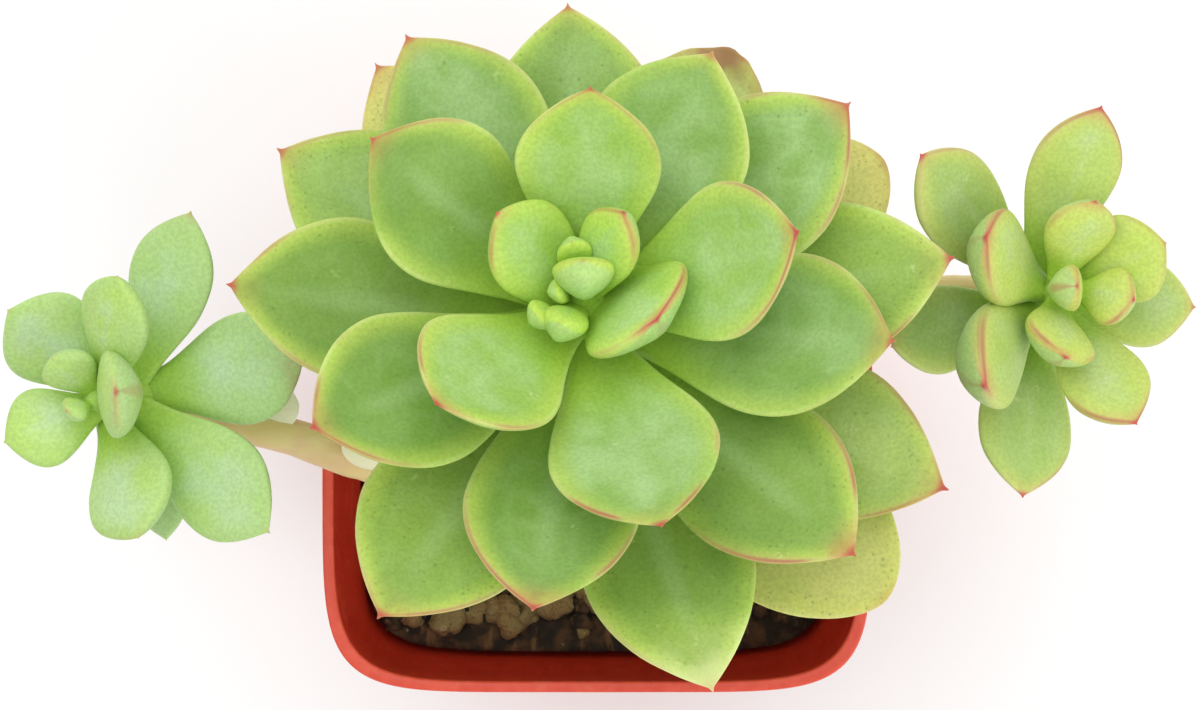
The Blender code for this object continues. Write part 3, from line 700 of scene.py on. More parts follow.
def soil_skin(settings):
    """Damp potting mix: near black, with brown fibres and grey specks."""
    desk = Desk("potting soil", settings.dark)
    coarse = desk.noise(500, 5.0)
    fibres = desk.noise(900, 3.0, (1, 0.25, 1))
    desk.paint(settings.brown, desk.ramp(coarse, 0.42, 0.68))
    desk.paint(seen(126, 92, 56), desk.ramp(fibres, 0.56, 0.7), 0.5)
    desk.paint(seen(170, 158, 132), desk.dots(800, 0.25, 0.1), 0.6)
    desk.coat(0.95)
    desk.bump(coarse, 0.6 * MM)
    return desk.material


def pumice_skin(settings):
    """Pumice grains: tan, pitted, with damp brown patches."""
    desk = Desk("pumice grit", settings.pumice)
    patch = desk.noise(260, 3.0)
    pits = desk.noise(2200, 3.0)
    desk.paint(seen(132, 104, 60), desk.ramp(patch, 0.4, 0.7, 0.0, 0.8))
    desk.paint(seen(184, 170, 128), desk.ramp(patch, 0.22, 0.4, 1.0, 0.0), 0.7)
    desk.paint(seen(84, 62, 36), desk.ramp(pits, 0.55, 0.7), 0.6)
    desk.coat(0.9)
    desk.bump(pits, 0.3 * MM)
    return desk.material


def stem_skin(name, base, flush, streaks):
    """A stem's skin: lengthwise streaks, a warm flush in patches, and rough scars."""
    desk = Desk(name, base)
    streak = desk.noise(700, 3.0, (0.2, 1, 1))
    patch = desk.noise(160, 2.0)
    desk.paint(streaks, desk.ramp(streak, 0.35, 0.7, 0.0, 0.6))
    desk.paint(flush, desk.ramp(patch, 0.45, 0.7, 0.0, 0.6))
    desk.paint(seen(150, 116, 76), desk.dots(700, 0.22, 0.2), 0.3)
    desk.coat(desk.ramp(streak, 0.3, 0.7, 0.45, 0.65))
    desk.soften(0.15, (1.0, 0.8, 0.4))
    desk.bump(streak, 0.2 * MM)
    return desk.material


def ease(share):
    """A smooth rise from 0 to 1."""
    share = min(max(share, 0), 1)
    return share * share * (3 - 2 * share)


def take_up(piece):
    """Make a piece the only one selected, and the active one."""
    bpy.ops.object.select_all(action="DESELECT")
    piece.select_set(True)
    bpy.context.view_layer.objects.active = piece


def named(piece, name):
    """Give a piece and its data one name."""
    piece.name = name
    piece.data.name = name
    return piece


def added(name):
    """Name the object that an operator has just added, which is the only one selected."""
    return named(bpy.context.object, name)


def copy_of(master, name):
    """A copy of a piece with its own mesh, taken up."""
    piece = master.copy()
    piece.data = master.data.copy()
    bpy.context.scene.collection.objects.link(piece)
    take_up(piece)
    return named(piece, name)


def open_edit(piece):
    """Open a piece in edit mode, with all of it selected."""
    take_up(piece)
    bpy.ops.object.mode_set(mode="EDIT")
    bpy.ops.mesh.select_all(action="SELECT")


def close_edit():
    """Leave edit mode."""
    bpy.ops.object.mode_set(mode="OBJECT")


def face_out(piece):
    """Turn the faces of a closed piece outwards."""
    open_edit(piece)
    bpy.ops.mesh.normals_make_consistent(inside=False)
    close_edit()


def edit_where(piece, chosen):
    """Open a piece in edit mode with the vertices selected whose place a test chooses."""
    take_up(piece)
    bpy.ops.object.mode_set(mode="EDIT")
    bpy.ops.mesh.select_mode(type="VERT")
    mesh = bmesh.from_edit_mesh(piece.data)
    for vert in mesh.verts:
        vert.select_set(bool(chosen(vert.co)))
    mesh.select_flush(True)
    bmesh.update_edit_mesh(piece.data)


def raise_ring(rise):
    """Extrude the selected ring upwards."""
    bpy.ops.mesh.extrude_region_move(TRANSFORM_OT_translate={"value": (0, 0, rise)})


def resize_ring(on_x, on_y, height):
    """Resize the selected ring about the upright axis, at its height."""
    bpy.ops.transform.resize(value=(on_x, on_y, 1), center_override=(0, 0, height))


def modify(piece, kind, **settings):
    """Add a modifier with its settings to the piece, and apply it."""
    take_up(piece)
    modifier = piece.modifiers.new(kind.title(), kind)
    for name, value in settings.items():
        setattr(modifier, name, value)
    bpy.ops.object.modifier_apply(modifier=modifier.name)


def place_piece(piece, matrix):
    """Put a piece in place, and apply the place to its mesh."""
    take_up(piece)
    piece.matrix_world = matrix
    bpy.ops.object.transform_apply(location=True, rotation=True, scale=True)


def uneven(piece, depth, grain):
    """Give a piece's surface soft unevenness, of a depth and a grain size."""
    texture = bpy.data.textures.new(piece.name + " unevenness", "CLOUDS")
    texture.noise_scale = grain
    texture.noise_depth = 1
    modify(piece, "DISPLACE", texture=texture, texture_coords="GLOBAL", strength=depth, mid_level=0.5)
    bpy.data.textures.remove(texture)


def hand_over(piece, skin, slot, *nodes):
    """Give a finished piece its skin and its body, and hide the nodes of the part that it stands for. Its
    slot is not used.
    """
    piece.data.materials.clear()
    piece.data.materials.append(skin)
    take_up(piece)
    bpy.ops.object.shade_smooth()
    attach(piece, "root")
    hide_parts(*nodes)


def record_points(piece, name, rows):
    """Keep three values on each of a piece's points, for its skin."""
    kept = piece.data.attributes.new(name, "FLOAT_VECTOR", "POINT")
    kept.data.foreach_set("vector", np.array(rows, np.float32).ravel())


def record_vector(piece, name, values):
    """Keep the same three values on all of a piece's points, for its skin."""
    record_points(piece, name, [values] * len(piece.data.vertices))


def hand_over_leaf(leaf, growth_and_shade, marks, skin, slot, node):
    """Keep on a leaf how far it has grown with its painted shade, and its marks, and hand it over."""
    record_vector(leaf, "growth_and_shade", growth_and_shade)
    record_vector(leaf, "marks", marks)
    hand_over(leaf, skin, slot, node)


class LeafForm(NamedTuple):
    """Shares that set a leaf's form, and the sides of its ring."""

    foot: float
    widest: float
    taper: float
    upper: float
    fullness: float
    keeled: float
    sides: int
    end: float = MUCRO_TIP
    rounded: float = 1


MAIN_FORM = LeafForm(foot=0.34, widest=0.61, taper=2.2, upper=0.22, fullness=2.5, keeled=0.12, sides=24)
BLUNT_FORM = MAIN_FORM._replace(foot=0.4, widest=0.56, taper=2.3, end=1, rounded=0.6)
HEART_FORM = LeafForm(foot=0.6, widest=0.56, taper=2.5, upper=0.34, fullness=4, keeled=0.3, sides=20)
OFFSET_FORM = LeafForm(foot=0.32, widest=0.63, taper=2.4, upper=0.36, fullness=3.6, keeled=0.18, sides=20)
BRACT_FORM = BLUNT_FORM._replace(foot=0.6, widest=0.5, keeled=0.0, sides=12)


def half_outline(along, form):
    """Half the leaf's width at a share of its length, as a share of its widest half."""
    if along < form.widest:
        return form.foot + (1 - form.foot) * ease(along / form.widest)
    blade = (1 - min((along - form.widest) / (1 - form.widest), 1) ** form.taper) ** form.rounded
    return max(blade, MUCRO_HALF * mucro_share(along))


def body_share(along, form):
    """The leaf's thickness at a share of its length, as a share of its thickest."""
    thinned = min(max(0, (along - BODY_FULL) / (1 - BODY_FULL)), 1) ** form.fullness
    blade = (FOOT_BODY + (1 - FOOT_BODY) * ease(along / BODY_FULL)) * (1 - thinned)
    return max(blade, MUCRO_BODY * mucro_share(along))


def mucro_share(along):
    """The taper of the small point on a leaf's tip, from 1 where it leaves the blade to 0 at its end."""
    if along < MUCRO_FROM:
        return 0
    return max(MUCRO_TIP - along, 0) / (MUCRO_TIP - MUCRO_FROM)


def model_leaf(name, form):
    """Model one upright leaf: a ring at its foot is extruded and resized up to its pointed tip.

    It is one unit long up Z, one unit wide across Y and one unit thick through X, with its upper face to +X.
    """
    bpy.ops.mesh.primitive_circle_add(vertices=form.sides, radius=0.5, fill_type="NGON")
    leaf = added(name)
    open_edit(leaf)
    last_body, last_half, last_height = 0.5, 0.5, 0
    for height in (station for station in LEAF_STATIONS if station < form.end):
        body = (1 - form.upper) * body_share(height, form)
        half = half_outline(height, form) / 2
        if height:
            raise_ring(height - last_height)
        resize_ring(body / last_body, half / last_half, height)
        last_body, last_half, last_height = body, half, height
    raise_ring(form.end - last_height)
    bpy.ops.mesh.merge(type="CENTER")
    close_edit()
    record_form(leaf, form)
    edit_where(leaf, lambda spot: spot.x > NO_WIDTH)
    resize_ring(form.upper / (1 - form.upper), 1, 0)
    close_edit()
    for vert in leaf.data.vertices:
        if vert.co.x < 0:
            half = half_outline(vert.co.z, form) / 2
            inner = 1 - min(abs(vert.co.y) / max(half, LEAST_HALF), 1)
            vert.co.x *= 1 - form.keeled * (1 - inner ** KEEL_POWER)
    modify(leaf, "SUBSURF", levels=1, render_levels=1)
    return leaf


def record_form(leaf, form):
    """Keep on each vertex where it lies: along the leaf, in from its edge, and from keel to face."""
    rows = []
    for vert in leaf.data.vertices:
        along = vert.co.z
        half = half_outline(along, form) / 2
        body = (1 - form.upper) * body_share(along, form)
        around = math.atan2(vert.co.x / body, vert.co.y / half) if half > 0 and body > 0 else 0
        rows.append((along, 2 * half * (1 - abs(math.cos(around))), math.sin(around)))
    record_points(leaf, "form", rows)


def grow_leaf(master, name, row, cup, place):
    """A copy of the master leaf at its own size, cupped, bent towards its face and set in place."""
    length, width, thick = (value * MM for value in (row.length, row.width, row.thick))
    leaf = copy_of(master, name)
    leaf.scale = (thick, width, length)
    bpy.ops.object.transform_apply(location=False, rotation=False, scale=True)
    form = leaf.data.attributes["form"].data
    for vert, kept in zip(leaf.data.vertices, form):
        kept.vector[1] = math.hypot(vert.co.x, kept.vector[1] * width / 2) / MM
        vert.co.x += cup * (2 * vert.co.y / width) ** 2
    bend = math.radians(row.bend) * MUCRO_TIP
    modify(leaf, "SIMPLE_DEFORM", deform_method="BEND", deform_axis="Y", angle=bend)
    place_piece(leaf, place)
    uneven(leaf, *LEAF_UNEVEN)
    return leaf


def leaf_place(rosette, row):
    """Where a leaf stands by its row. It leaves the axis at its rise less half its bend."""
    start = math.radians(row.rise - row.bend / 2)
    lay = Matrix((
        (-math.sin(start), 0, math.cos(start), 0),
        (0, -1, 0, 0),
        (math.cos(start), 0, math.sin(start), 0),
        (0, 0, 0, 1),
    ))
    spot = Matrix.Translation(Vector((row.out, row.side, -row.below)) * MM)
    roll = Matrix.Rotation(math.radians(row.roll), 4, "Z")
    return rosette @ Matrix.Rotation(math.radians(row.azimuth), 4, "Z") @ spot @ lay @ roll


def leaning_frame(apex, lean, lean_to):
    """The frame at a growing tip: +Z is the rosette's own axis, and azimuths stay the world's."""
    direction = math.radians(lean_to)
    hinge = Vector((-math.sin(direction), math.cos(direction), 0))
    return Matrix.Translation(apex) @ Matrix.Rotation(math.radians(lean), 4, hinge)


def turned_head(name, outline, rosette):
    """The stem head under a rosette's leaves: a ring extruded along its outline, fading to its foot."""
    last_radius, last_height = outline[0]
    bpy.ops.mesh.primitive_circle_add(
        vertices=HEAD_SIDES, radius=last_radius, fill_type="NGON", location=(0, 0, last_height))
    head = added(name)
    bpy.ops.object.transform_apply(location=True)
    open_edit(head)
    for radius, height in outline[1:]:
        raise_ring(height - last_height)
        resize_ring(radius / last_radius, radius / last_radius, height)
        last_radius, last_height = radius, height
    close_edit()
    foot, top = outline[0][1], outline[-1][1]
    faded = [1 - ease((vert.co.z - foot) / (HEAD_FADES * (top - foot))) for vert in head.data.vertices]
    record_points(head, "growth_and_shade", [(HEAD_AGE, share, 0) for share in faded])
    place_piece(head, rosette)
    uneven(head, *HEAD_UNEVEN)
    record_vector(head, "form", HEAD_FORM)
    record_vector(head, "marks", (0, 0, 0))
    return head


def tube(name, route, radius, swellings):
    """A round stem along a route, bevelled on a smooth curve and made a mesh, with swollen rings."""
    bpy.ops.curve.primitive_bezier_curve_add()
    stem = added(name)
    curve = stem.data
    curve.splines.clear()
    curve.bevel_depth = radius
    curve.bevel_resolution = 6
    curve.resolution_u = 16
    curve.use_fill_caps = True
    spline = curve.splines.new("BEZIER")
    spline.bezier_points.add(len(route) - 1)
    for index, (point, place) in enumerate(zip(spline.bezier_points, route)):
        point.co = place
        point.handle_left_type = "AUTO"
        point.handle_right_type = "AUTO"
        point.radius = swellings.get(index, 1)
    bpy.ops.object.convert(target="MESH")
    open_edit(stem)
    bpy.ops.mesh.remove_doubles(threshold=WELD)
    close_edit()
    face_out(stem)
    uneven(stem, *STEM_UNEVEN)
    return stem


def seated_route(route, rosette, depth, straight):
    """A route in metres that ends in a straight stretch, squarely under a rosette's head."""
    end = rosette @ Vector((0, 0, -depth - FIT_GAP))
    before = rosette @ Vector((0, 0, -depth - FIT_GAP - straight))
    return [Vector(point) * MM for point in route] + [before, end]


def offset_depth(spacing, rows):
    """How far an offset's head reaches below its growing tip."""
    return spacing * (len(rows) - 1) + OFFSET_HEAD_BELOW


def grow_offset(name, node, slot, rosette, spacing, rows, settings, marks):
    """A young rosette of spoon leaves, each leaf a piece of its own."""
    skin = leaf_skin(name + " leaf skin", settings, marks)
    master = model_leaf(name + "_master", OFFSET_FORM)
    for rank, row in enumerate(rows):
        out = (OFFSET_FOOT + OFFSET_FOOT_STEP * rank) / MM
        row = row._replace(out=row.out + out, below=spacing * rank / MM)
        cup = settings.cup * row.width / OFFSET_CUP_WIDTH
        leaf = grow_leaf(master, f"{name}_leaf_{rank:02d}", row, cup, leaf_place(rosette, row))
        growth_and_shade = (OFFSET_AGE + OFFSET_AGE_STEP * rank, 0, row.deep)
        hand_over_leaf(leaf, growth_and_shade, (row.red, row.keel, row.dried), skin, slot, node)
    bpy.data.objects.remove(master)
    depth = offset_depth(spacing, rows)
    head = turned_head(name + "_head", [
        (OFFSET_HEAD_RADIUS, -depth),
        (OFFSET_HEAD_RADIUS, -OFFSET_HEAD_FULL * depth),
        (OFFSET_HEAD_TIP, 0),
        (HEAD_POINT * OFFSET_HEAD_TIP, OFFSET_HEAD_ABOVE),
    ], rosette)
    hand_over(head, skin, slot, node)


def soft_square(x, y):
    """Pull a point of a square in, so that the square gets the pot's soft corners."""
    reach = math.hypot(x, y)
    if reach == 0:
        return x, y
    across, up = abs(x) / reach, abs(y) / reach
    share = max(across, up) / (across ** CORNER_POWER + up ** CORNER_POWER) ** (1 / CORNER_POWER)
    return x * share, y * share


def pot_half(settings, height):
    """Half the pot's outer width on its sloped side, at a height."""
    share = height / (settings.height - settings.band_height)
    top = settings.rim_half - settings.band_step - BAND_DRAFT
    return BASE_HALF + (top - BASE_HALF) * share


def pot_stations(settings):
    """The pot's outline as half widths and heights, up its outside and down its inside."""
    def side(height, inward=0.0):
        return pot_half(settings, height) - inward, height

    band_foot = settings.height - settings.band_height
    band_half = pot_half(settings, band_foot) + settings.band_step
    return [
        (BASE_HALF - BASE_EDGE, 0),
        side(BASE_ROUND, BASE_ROUND),
        side(BASE_EDGE),
        side(band_foot / 2),
        side(band_foot - BAND_CHAMFER),
        (band_half, band_foot),
        (settings.rim_half, settings.height),
        (settings.rim_half - RIM_LIP * settings.wall, settings.height),
        (band_half - BAND_WALL * settings.wall, band_foot + BAND_FLOOR),
        side(band_foot - INSIDE_STEP, settings.wall),
        side(band_foot / 2, settings.wall),
        side(settings.wall, settings.wall),
    ]


def cut_drains(pot, wall):
    """Cut the four drain holes in the pot's base."""
    for side_x in (-1, 1):
        for side_y in (-1, 1):
            bpy.ops.mesh.primitive_cylinder_add(
                vertices=DRAIN_SIDES, radius=DRAIN_RADIUS, depth=DRAIN_DEPTH * wall,
                location=(side_x * DRAIN_OFFSET, side_y * DRAIN_OFFSET, 0))
            cutter = added("drain_cutter")
            modify(pot, "BOOLEAN", operation="DIFFERENCE", solver="EXACT", object=cutter)
            bpy.data.objects.remove(cutter)


class ECHEVERIA_OT_pot(bpy.types.Operator):
    """Model the square pot: a thin moulded shell with a stepped rim band and drain holes"""

    bl_idname = "echeveria.pot"
    bl_label = "Pot"

    def execute(self, context):
        settings = context.scene.echeveria_pot
        stations = pot_stations(settings)
        bpy.ops.mesh.primitive_circle_add(vertices=POT_SIDES, radius=1, fill_type="NGON")
        pot = added("pot_shell")
        power = 2 / CORNER_POWER
        for vert in pot.data.vertices:
            turn = math.atan2(vert.co.y, vert.co.x)
            vert.co.x = math.copysign(stations[0][0] * abs(math.cos(turn)) ** power, math.cos(turn))
            vert.co.y = math.copysign(stations[0][0] * abs(math.sin(turn)) ** power, math.sin(turn))
        open_edit(pot)
        for (half, height), (next_half, next_height) in zip(stations, stations[1:]):
            raise_ring(next_height - height)
            resize_ring(next_half / half, next_half / half, next_height)
        close_edit()
        face_out(pot)
        cut_drains(pot, settings.wall)
        modify(pot, "BEVEL", width=POT_BEVEL, segments=3, limit_method="ANGLE", angle_limit=BEVEL_ANGLE)
        hand_over(pot, pot_plastic(settings), "pot_plastic", "pot")
        bpy.ops.object.shade_smooth_by_angle(angle=SHARP_ANGLE)
        return {"FINISHED"}


def soil_height(settings, x, y):
    """The soil's top, with low bumps, and heaped against the front wall."""
    heap = HEAP_HEIGHT * ease((-y - HEAP_FROM) / HEAP_DEPTH)
    return settings.top + SOIL_BUMP * noise.noise(Vector((x, y, 0)) / SOIL_BUMP_SIZE) + heap


class ECHEVERIA_OT_soil(bpy.types.Operator):
    """Model the soil that fills the pot, with a crumbly top"""

    bl_idname = "echeveria.soil"
    bl_label = "Soil"

    def execute(self, context):
        settings = context.scene.echeveria_soil
        pot = context.scene.echeveria_pot
        inner = pot.wall + FIT_GAP
        half = pot_half(pot, settings.top) - inner - SOIL_TOP_CLEAR
        foot = pot_half(pot, inner) - inner - SOIL_FOOT_CLEAR
        bpy.ops.mesh.primitive_grid_add(x_subdivisions=SOIL_CELLS, y_subdivisions=SOIL_CELLS, size=2 * half)
        soil = added("soil_bed")
        for vert in soil.data.vertices:
            vert.co.x, vert.co.y = soft_square(vert.co.x, vert.co.y)
        open_edit(soil)
        raise_ring(settings.top)
        close_edit()
        for vert in soil.data.vertices:
            if vert.co.z > settings.top / 2:
                coarse = CRUMBLE * noise.noise(Vector((vert.co.x, vert.co.y, 0)) / CRUMBLE_SIZE)
                fine = FINE_CRUMBLE * noise.noise(Vector((vert.co.y, vert.co.x, 1)) / FINE_CRUMBLE_SIZE)
                vert.co.z = soil_height(settings, vert.co.x, vert.co.y) + coarse + fine
            else:
                vert.co.x *= foot / half
                vert.co.y *= foot / half
                vert.co.z = inner
        face_out(soil)
        hand_over(soil, soil_skin(settings), "potting_soil", "soil")
        return {"FINISHED"}


def model_pebble(name, subdivisions, rough):
    """One rough grain of unit radius, from a ball with an uneven surface."""
    bpy.ops.mesh.primitive_ico_sphere_add(subdivisions=subdivisions, radius=1)
    pebble = added(name)
    for vert in pebble.data.vertices:
        vert.co *= 1 + rough * noise.noise(vert.co * LUMPS + Vector((len(name), 3, 1)))
        vert.co *= 1 + PITS_DEPTH * rough * noise.noise(vert.co * PITS)
    return pebble


def scattered(masters, places, name):
    """Copies of the master grains at their places, joined in one piece."""
    copies = [copy_of(masters[index % len(masters)], name) for index in range(len(places))]
    for grain, place in zip(copies, places):
        grain.data.transform(place)
    bpy.ops.object.select_all(action="DESELECT")
    for grain in copies:
        grain.select_set(True)
    bpy.context.view_layer.objects.active = copies[0]
    bpy.ops.object.join()
    piece = added(name)
    for master in masters:
        bpy.data.objects.remove(master)
    return piece


def grain_place(x, y, z, radius, stretch, tilt):
    """Where a grain lies: its place, its turn and its size."""
    place = Matrix.Translation((x, y, z))
    for angle, axis in zip(tilt, "XYZ"):
        place = place @ Matrix.Rotation(angle, 4, axis)
    return place @ Matrix.Diagonal((radius * stretch, radius, radius, 1))


def tumbled(draw):
    """Three random turns."""
    return [draw.uniform(0, math.tau) for _ in range(3)]


def grit_places(draw, settings, stem_radius):
    """Places of the grit's grains: clear of the stem and of each other."""
    placed = []
    places = []
    while len(placed) < GRIT_COUNT:
        x = draw.uniform(-GRIT_SPREAD, GRIT_SPREAD)
        y = draw.uniform(-GRIT_SPREAD, GRIT_SPREAD)
        radius = settings.grain_radius * draw.uniform(*GRIT_SIZES)
        tilt = tumbled(draw)
        stretch = draw.uniform(*GRIT_STRETCH)
        near_stem = math.hypot(x, y) < stem_radius + FIT_GAP + radius + GRIT_FROM_STEM
        near_grain = any(math.hypot(x - px, y - py) < GRIT_CROWDING * (radius + pr) for px, py, pr in placed)
        if near_stem or near_grain:
            continue
        placed.append((x, y, radius))
        height = soil_height(settings, x, y) + GRIT_RAISED * radius
        places.append(grain_place(x, y, height, GRIT_INSIDE * radius, stretch, tilt))
    return places


def chip_places(draw, settings):
    """Places of the small chips: thickest at the front, and inside the pot's wall."""
    places = []
    for _ in range(settings.chips):
        x, y = (draw.gauss(middle, spread) for middle, spread in zip(CHIPS_AT, CHIPS_SPREAD))
        radius = draw.uniform(*CHIP_RADIUS)
        tilt = tumbled(draw)
        if max(abs(x), abs(y)) + CHIP_STRETCH[1] * radius < CHIPS_REACH:
            height = soil_height(settings, x, y) + CHIP_RAISED * radius
            places.append(grain_place(x, y, height, radius, draw.uniform(*CHIP_STRETCH), tilt))
    return places


def crumb_places(draw, settings):
    """Places of the loose crumbs, all over the soil."""
    places = []
    for _ in range(settings.crumbs):
        x, y = (draw.uniform(-CRUMB_SPREAD, CRUMB_SPREAD) for _ in range(2))
        radius = draw.uniform(*CRUMB_RADIUS)
        tilt = tumbled(draw)
        height = soil_height(settings, x, y) + CRUMB_RAISED * radius
        places.append(grain_place(x, y, height, radius, draw.uniform(*CRUMB_STRETCH), tilt))
    return places


class ECHEVERIA_OT_grit(bpy.types.Operator):
    """Scatter the pumice grit and the loose crumbs on the soil"""

    bl_idname = "echeveria.grit"
    bl_label = "Grit"

    def execute(self, context):
        settings = context.scene.echeveria_soil
        draw = random.Random(SEED)
        places = grit_places(draw, settings, context.scene.echeveria_stems.stem_radius)
        places += chip_places(draw, settings)
        masters = [model_pebble(f"pebble_{index}", 3, PEBBLE_ROUGH) for index in range(PEBBLES)]
        grit = scattered(masters, places, "pumice_grit")
        hand_over(grit, pumice_skin(settings), "potting_soil", "soil")
        crumb = model_pebble("crumb", 2, CRUMB_ROUGH)
        crumbs = scattered([crumb], crumb_places(draw, settings), "soil_crumbs")
        hand_over(crumbs, soil_skin(settings), "potting_soil", "soil")
        return {"FINISHED"}


class ECHEVERIA_OT_stems(bpy.types.Operator):
    """Model the main stem and the two runners, with their bracts"""

    bl_idname = "echeveria.stems"
    bl_label = "Stems"

    def execute(self, context):
        settings = context.scene.echeveria_stems
        bark = stem_skin("stem bark", settings.bark, seen(120, 96, 64), seen(190, 170, 120))
        skin = stem_skin("runner skin", settings.skin, settings.flush, seen(240, 222, 164))
        main = leaning_frame(APEX, LEAN, LEAN_TO)
        left = leaning_frame(LEFT_APEX, LEFT_LEAN, LEFT_LEAN_TO)
        right = leaning_frame(RIGHT_APEX, RIGHT_LEAN, RIGHT_LEAN_TO)
        left_depth = offset_depth(LEFT_SPACING, LEFT_LEAVES)
        right_depth = offset_depth(RIGHT_SPACING, RIGHT_LEAVES)
        route = seated_route(STEM_ROUTE, main, HEAD_DEPTH, STEM_STRAIGHT)
        stem = tube("stem_main", route, settings.stem_radius, STEM_SWELLINGS)
        hand_over(stem, bark, "stem_bark", "main_stem")
        route = seated_route(LEFT_ROUTE, left, left_depth, RUNNER_STRAIGHT)
        runner = tube("runner_left", route, settings.runner_radius, LEFT_SWELLINGS)
        hand_over(runner, skin, "runner_skin", "left_runner")
        route = seated_route(RIGHT_ROUTE, right, right_depth, RUNNER_STRAIGHT)
        runner = tube("runner_right", route, settings.runner_radius, RIGHT_SWELLINGS)
        hand_over(runner, skin, "runner_skin", "right_runner")

        pale = stem_skin("bract skin", settings.bract, seen(238, 232, 184), seen(252, 248, 226))
        master = model_leaf("bract_master", BRACT_FORM)
        for index, (spot, row) in enumerate(LEFT_BRACTS):
            place = leaf_place(Matrix.Translation(Vector(spot) * MM), row)
            bract = grow_leaf(master, f"bract_{index}", row, BRACT_CUP, place)
            hand_over(bract, pale, "runner_skin", "left_runner")
        bpy.data.objects.remove(master)
        return {"FINISHED"}


def spiral_leaf(settings, age):
    """The row of a leaf of the main rosette, by its age in the spiral."""
    long = 1 - math.exp(-((age + 1) / LENGTH_AGE) ** LENGTH_POWER)
    wide = 1 - math.exp(-((age + 1) / WIDTH_AGE) ** WIDTH_POWER)
    azimuth = FIRST_AZIMUTH + TURN * age + AZIMUTH_NUDGE.get(age, 0)
    to_back = math.sin(math.radians(azimuth))
    length = settings.length * long * LENGTH_NUDGE.get(age, 1) * (1 - BACK_SHORTER * to_back)
    width = settings.width * wide * WIDTH_NUDGE.get(age, 1)
    rise = YOUNG_RISE * math.exp(-age / RISE_AGE) - OLD_DROOP
    foot = FOOT_RADIUS * (1 - math.exp(-age / FOOT_AGE)) - FOOT_SUNK
    return Leaf(azimuth, rise, math.degrees(settings.bend), length / MM, width / MM, settings.thickness / MM,
                out=foot / MM, below=age * LEAF_SPACING / MM)


class ECHEVERIA_OT_main_rosette(bpy.types.Operator):
    """Grow the main rosette: leaves in a spiral on one stem head, each leaf a piece of its own"""

    bl_idname = "echeveria.main_rosette"
    bl_label = "Main rosette"

    def execute(self, context):
        settings = context.scene.echeveria_main
        skin = leaf_skin("main leaf skin", settings, context.scene.echeveria_marks)
        rosette = leaning_frame(APEX, LEAN, LEAN_TO)
        heart_master = model_leaf("heart_master", HEART_FORM)
        for age, row in enumerate(HEART_LEAVES):
            cup = settings.cup * row.width / HEART_CUP_WIDTH
            leaf = grow_leaf(heart_master, f"main_leaf_{age:02d}", row, cup, leaf_place(rosette, row))
            growth_and_shade = (age / OLDEST_LEAF, 0, row.deep)
            hand_over_leaf(leaf, growth_and_shade, (row.red, row.keel, 0), skin, "main_leaf", "main_rosette")
        pointed = model_leaf("main_master", MAIN_FORM)
        blunt = model_leaf("blunt_master", BLUNT_FORM)
        for age in range(len(HEART_LEAVES), OLDEST_LEAF + 1):
            if age in FALLEN:
                continue
            row = spiral_leaf(settings, age)
            master = blunt if age in BLUNT_LEAVES else pointed
            leaf = grow_leaf(master, f"main_leaf_{age:02d}", row, settings.cup, leaf_place(rosette, row))
            if age in WRINKLED:
                uneven(leaf, *WRINKLES)
            growth_and_shade = (age / OLDEST_LEAF, YELLOWED.get(age, 0), PAINTED_SHADE_GREEN.get(age, 0))
            marks = (MARGIN_RED.get(age, 0), 0, DRIED_TIP.get(age, 0))
            hand_over_leaf(leaf, growth_and_shade, marks, skin, "main_leaf", "main_rosette")
        for done in (heart_master, pointed, blunt):
            bpy.data.objects.remove(done)
        outline = [(HEAD_RADIUS, -HEAD_DEPTH)]
        for age in range(OLDEST_LEAF, -1, -HEAD_LEAVES_A_RING):
            grown = 1 - math.exp(-age / FOOT_AGE)
            outline.append((HEAD_TIP + (HEAD_RADIUS - HEAD_TIP) * grown, -age * LEAF_SPACING))
        outline.append((HEAD_POINT * HEAD_TIP, HEAD_ABOVE))
        head = turned_head("main_head", outline, rosette)
        hand_over(head, skin, "main_leaf", "main_rosette")
        return {"FINISHED"}


class ECHEVERIA_OT_left_offset(bpy.types.Operator):
    """Grow the left offset: a young rosette of spoon leaves"""

    bl_idname = "echeveria.left_offset"
    bl_label = "Left offset"

    def execute(self, context):
        rosette = leaning_frame(LEFT_APEX, LEFT_LEAN, LEFT_LEAN_TO)
        grow_offset("left", "left_offset", "left_offset_leaf", rosette, LEFT_SPACING, LEFT_LEAVES,
                    context.scene.echeveria_left, context.scene.echeveria_marks)
        return {"FINISHED"}


class ECHEVERIA_OT_right_offset(bpy.types.Operator):
    """Grow the right offset: a young rosette of spoon leaves with red keels"""

    bl_idname = "echeveria.right_offset"
    bl_label = "Right offset"

    def execute(self, context):
        rosette = leaning_frame(RIGHT_APEX, RIGHT_LEAN, RIGHT_LEAN_TO)
        grow_offset("right", "right_offset", "right_offset_leaf", rosette, RIGHT_SPACING, RIGHT_LEAVES,
                    context.scene.echeveria_right, context.scene.echeveria_marks)
        return {"FINISHED"}


def add_light(name, power, width, place, aim):
    """A large soft light that looks at a point."""
    bpy.ops.object.light_add(type="AREA", location=place)
    light = added(name)
    light.data.energy = power
    light.data.size = width
    light.rotation_euler = (Vector(aim) - Vector(place)).to_track_quat("-Z", "Y").to_euler()


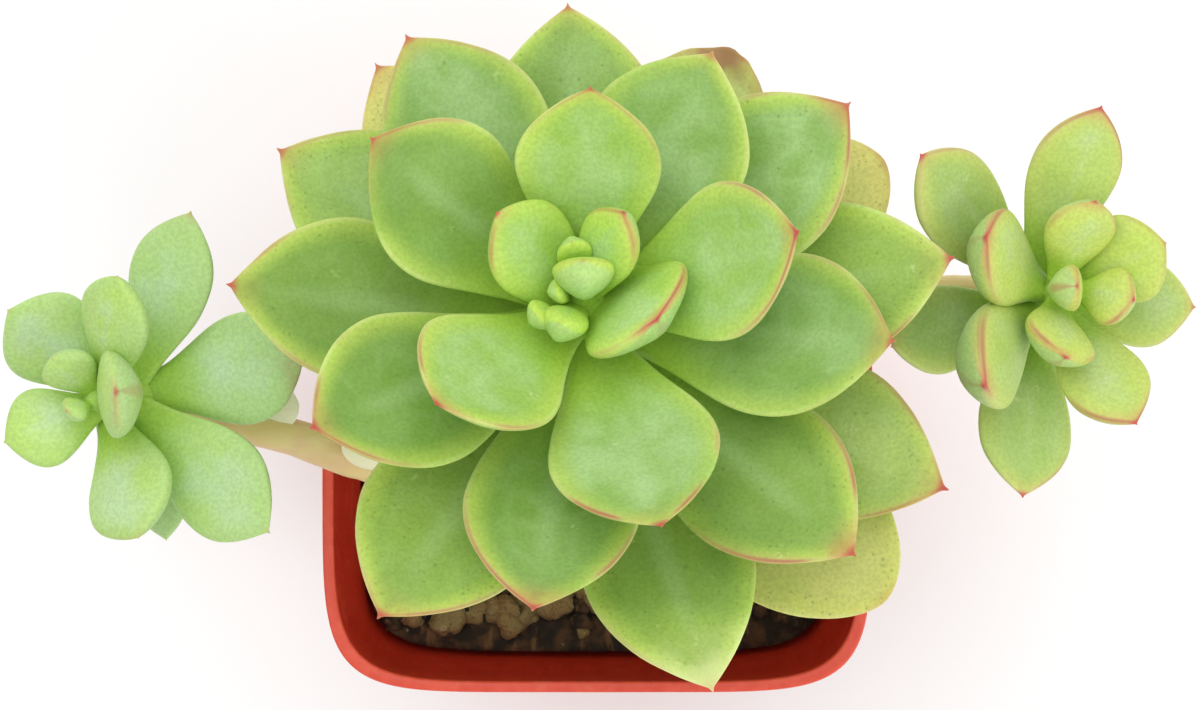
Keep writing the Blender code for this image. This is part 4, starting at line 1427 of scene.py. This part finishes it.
class ECHEVERIA_OT_stage(bpy.types.Operator):
    """Set the floor, the soft light and the camera that looks straight down"""

    bl_idname = "echeveria.stage"
    bl_label = "Stage"

    def execute(self, context):
        settings = context.scene.echeveria_stage
        bpy.ops.mesh.primitive_plane_add(size=FLOOR_SIZE, location=(0, 0, -FLOOR_DROP))
        floor = added("floor")
        desk = Desk("floor paper", settings.floor)
        desk.coat(0.9)
        floor.data.materials.append(desk.material)
        world = bpy.data.worlds.new("studio")
        world.use_nodes = True
        sky = world.node_tree.nodes["Background"]
        sky.inputs["Color"].default_value = (1, 1, 1, 1)
        sky.inputs["Strength"].default_value = settings.sky
        context.scene.world = world
        add_light("key", settings.key, KEY_WIDTH, KEY_AT, LIGHT_AIM)
        add_light("fill", settings.fill, FILL_WIDTH, FILL_AT, LIGHT_AIM)
        bpy.ops.object.camera_add(location=(*CAMERA_AT, settings.camera_height), rotation=(0, 0, 0))
        camera = added("camera")
        camera.data.lens = settings.lens
        camera.data.sensor_width = SENSOR_WIDTH
        camera.data.clip_start = CLIP_START
        context.scene.camera = camera
        context.scene.view_settings.view_transform = "Standard"
        return {"FINISHED"}


class ECHEVERIA_PT_build(bpy.types.Panel):
    """Lists the steps that model the plant"""

    bl_label = "Potted echeveria"
    bl_space_type = "VIEW_3D"
    bl_region_type = "UI"
    bl_category = "Echeveria"

    def draw(self, context):
        for step in STEPS:
            self.layout.operator(step.bl_idname)


STEPS = (
    ECHEVERIA_OT_stage,
    ECHEVERIA_OT_pot,
    ECHEVERIA_OT_soil,
    ECHEVERIA_OT_grit,
    ECHEVERIA_OT_stems,
    ECHEVERIA_OT_main_rosette,
    ECHEVERIA_OT_left_offset,
    ECHEVERIA_OT_right_offset,
)
SETTINGS = {
    "echeveria_pot": PotSettings,
    "echeveria_soil": SoilSettings,
    "echeveria_stems": StemSettings,
    "echeveria_main": MainLeafSettings,
    "echeveria_left": LeftOffsetSettings,
    "echeveria_right": RightOffsetSettings,
    "echeveria_marks": LeafMarkSettings,
    "echeveria_stage": StageSettings,
}


def register():
    """Register the settings, the steps and the panel."""
    for name, group in SETTINGS.items():
        bpy.utils.register_class(group)
        setattr(bpy.types.Scene, name, PointerProperty(type=group))
    for step in STEPS:
        bpy.utils.register_class(step)
    bpy.utils.register_class(ECHEVERIA_PT_build)


def unregister():
    """Take the panel, the steps and the settings away again."""
    bpy.utils.unregister_class(ECHEVERIA_PT_build)
    for step in reversed(STEPS):
        bpy.utils.unregister_class(step)
    for name, group in reversed(SETTINGS.items()):
        delattr(bpy.types.Scene, name)
        bpy.utils.unregister_class(group)


def main():
    """Model the plant step by step."""
    register()
    bpy.ops.echeveria.stage()
    bpy.ops.echeveria.pot()
    bpy.ops.echeveria.soil()
    bpy.ops.echeveria.grit()
    bpy.ops.echeveria.stems()
    bpy.ops.echeveria.main_rosette()
    bpy.ops.echeveria.left_offset()
    bpy.ops.echeveria.right_offset()
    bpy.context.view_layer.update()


if __name__ == "__main__":
    main()
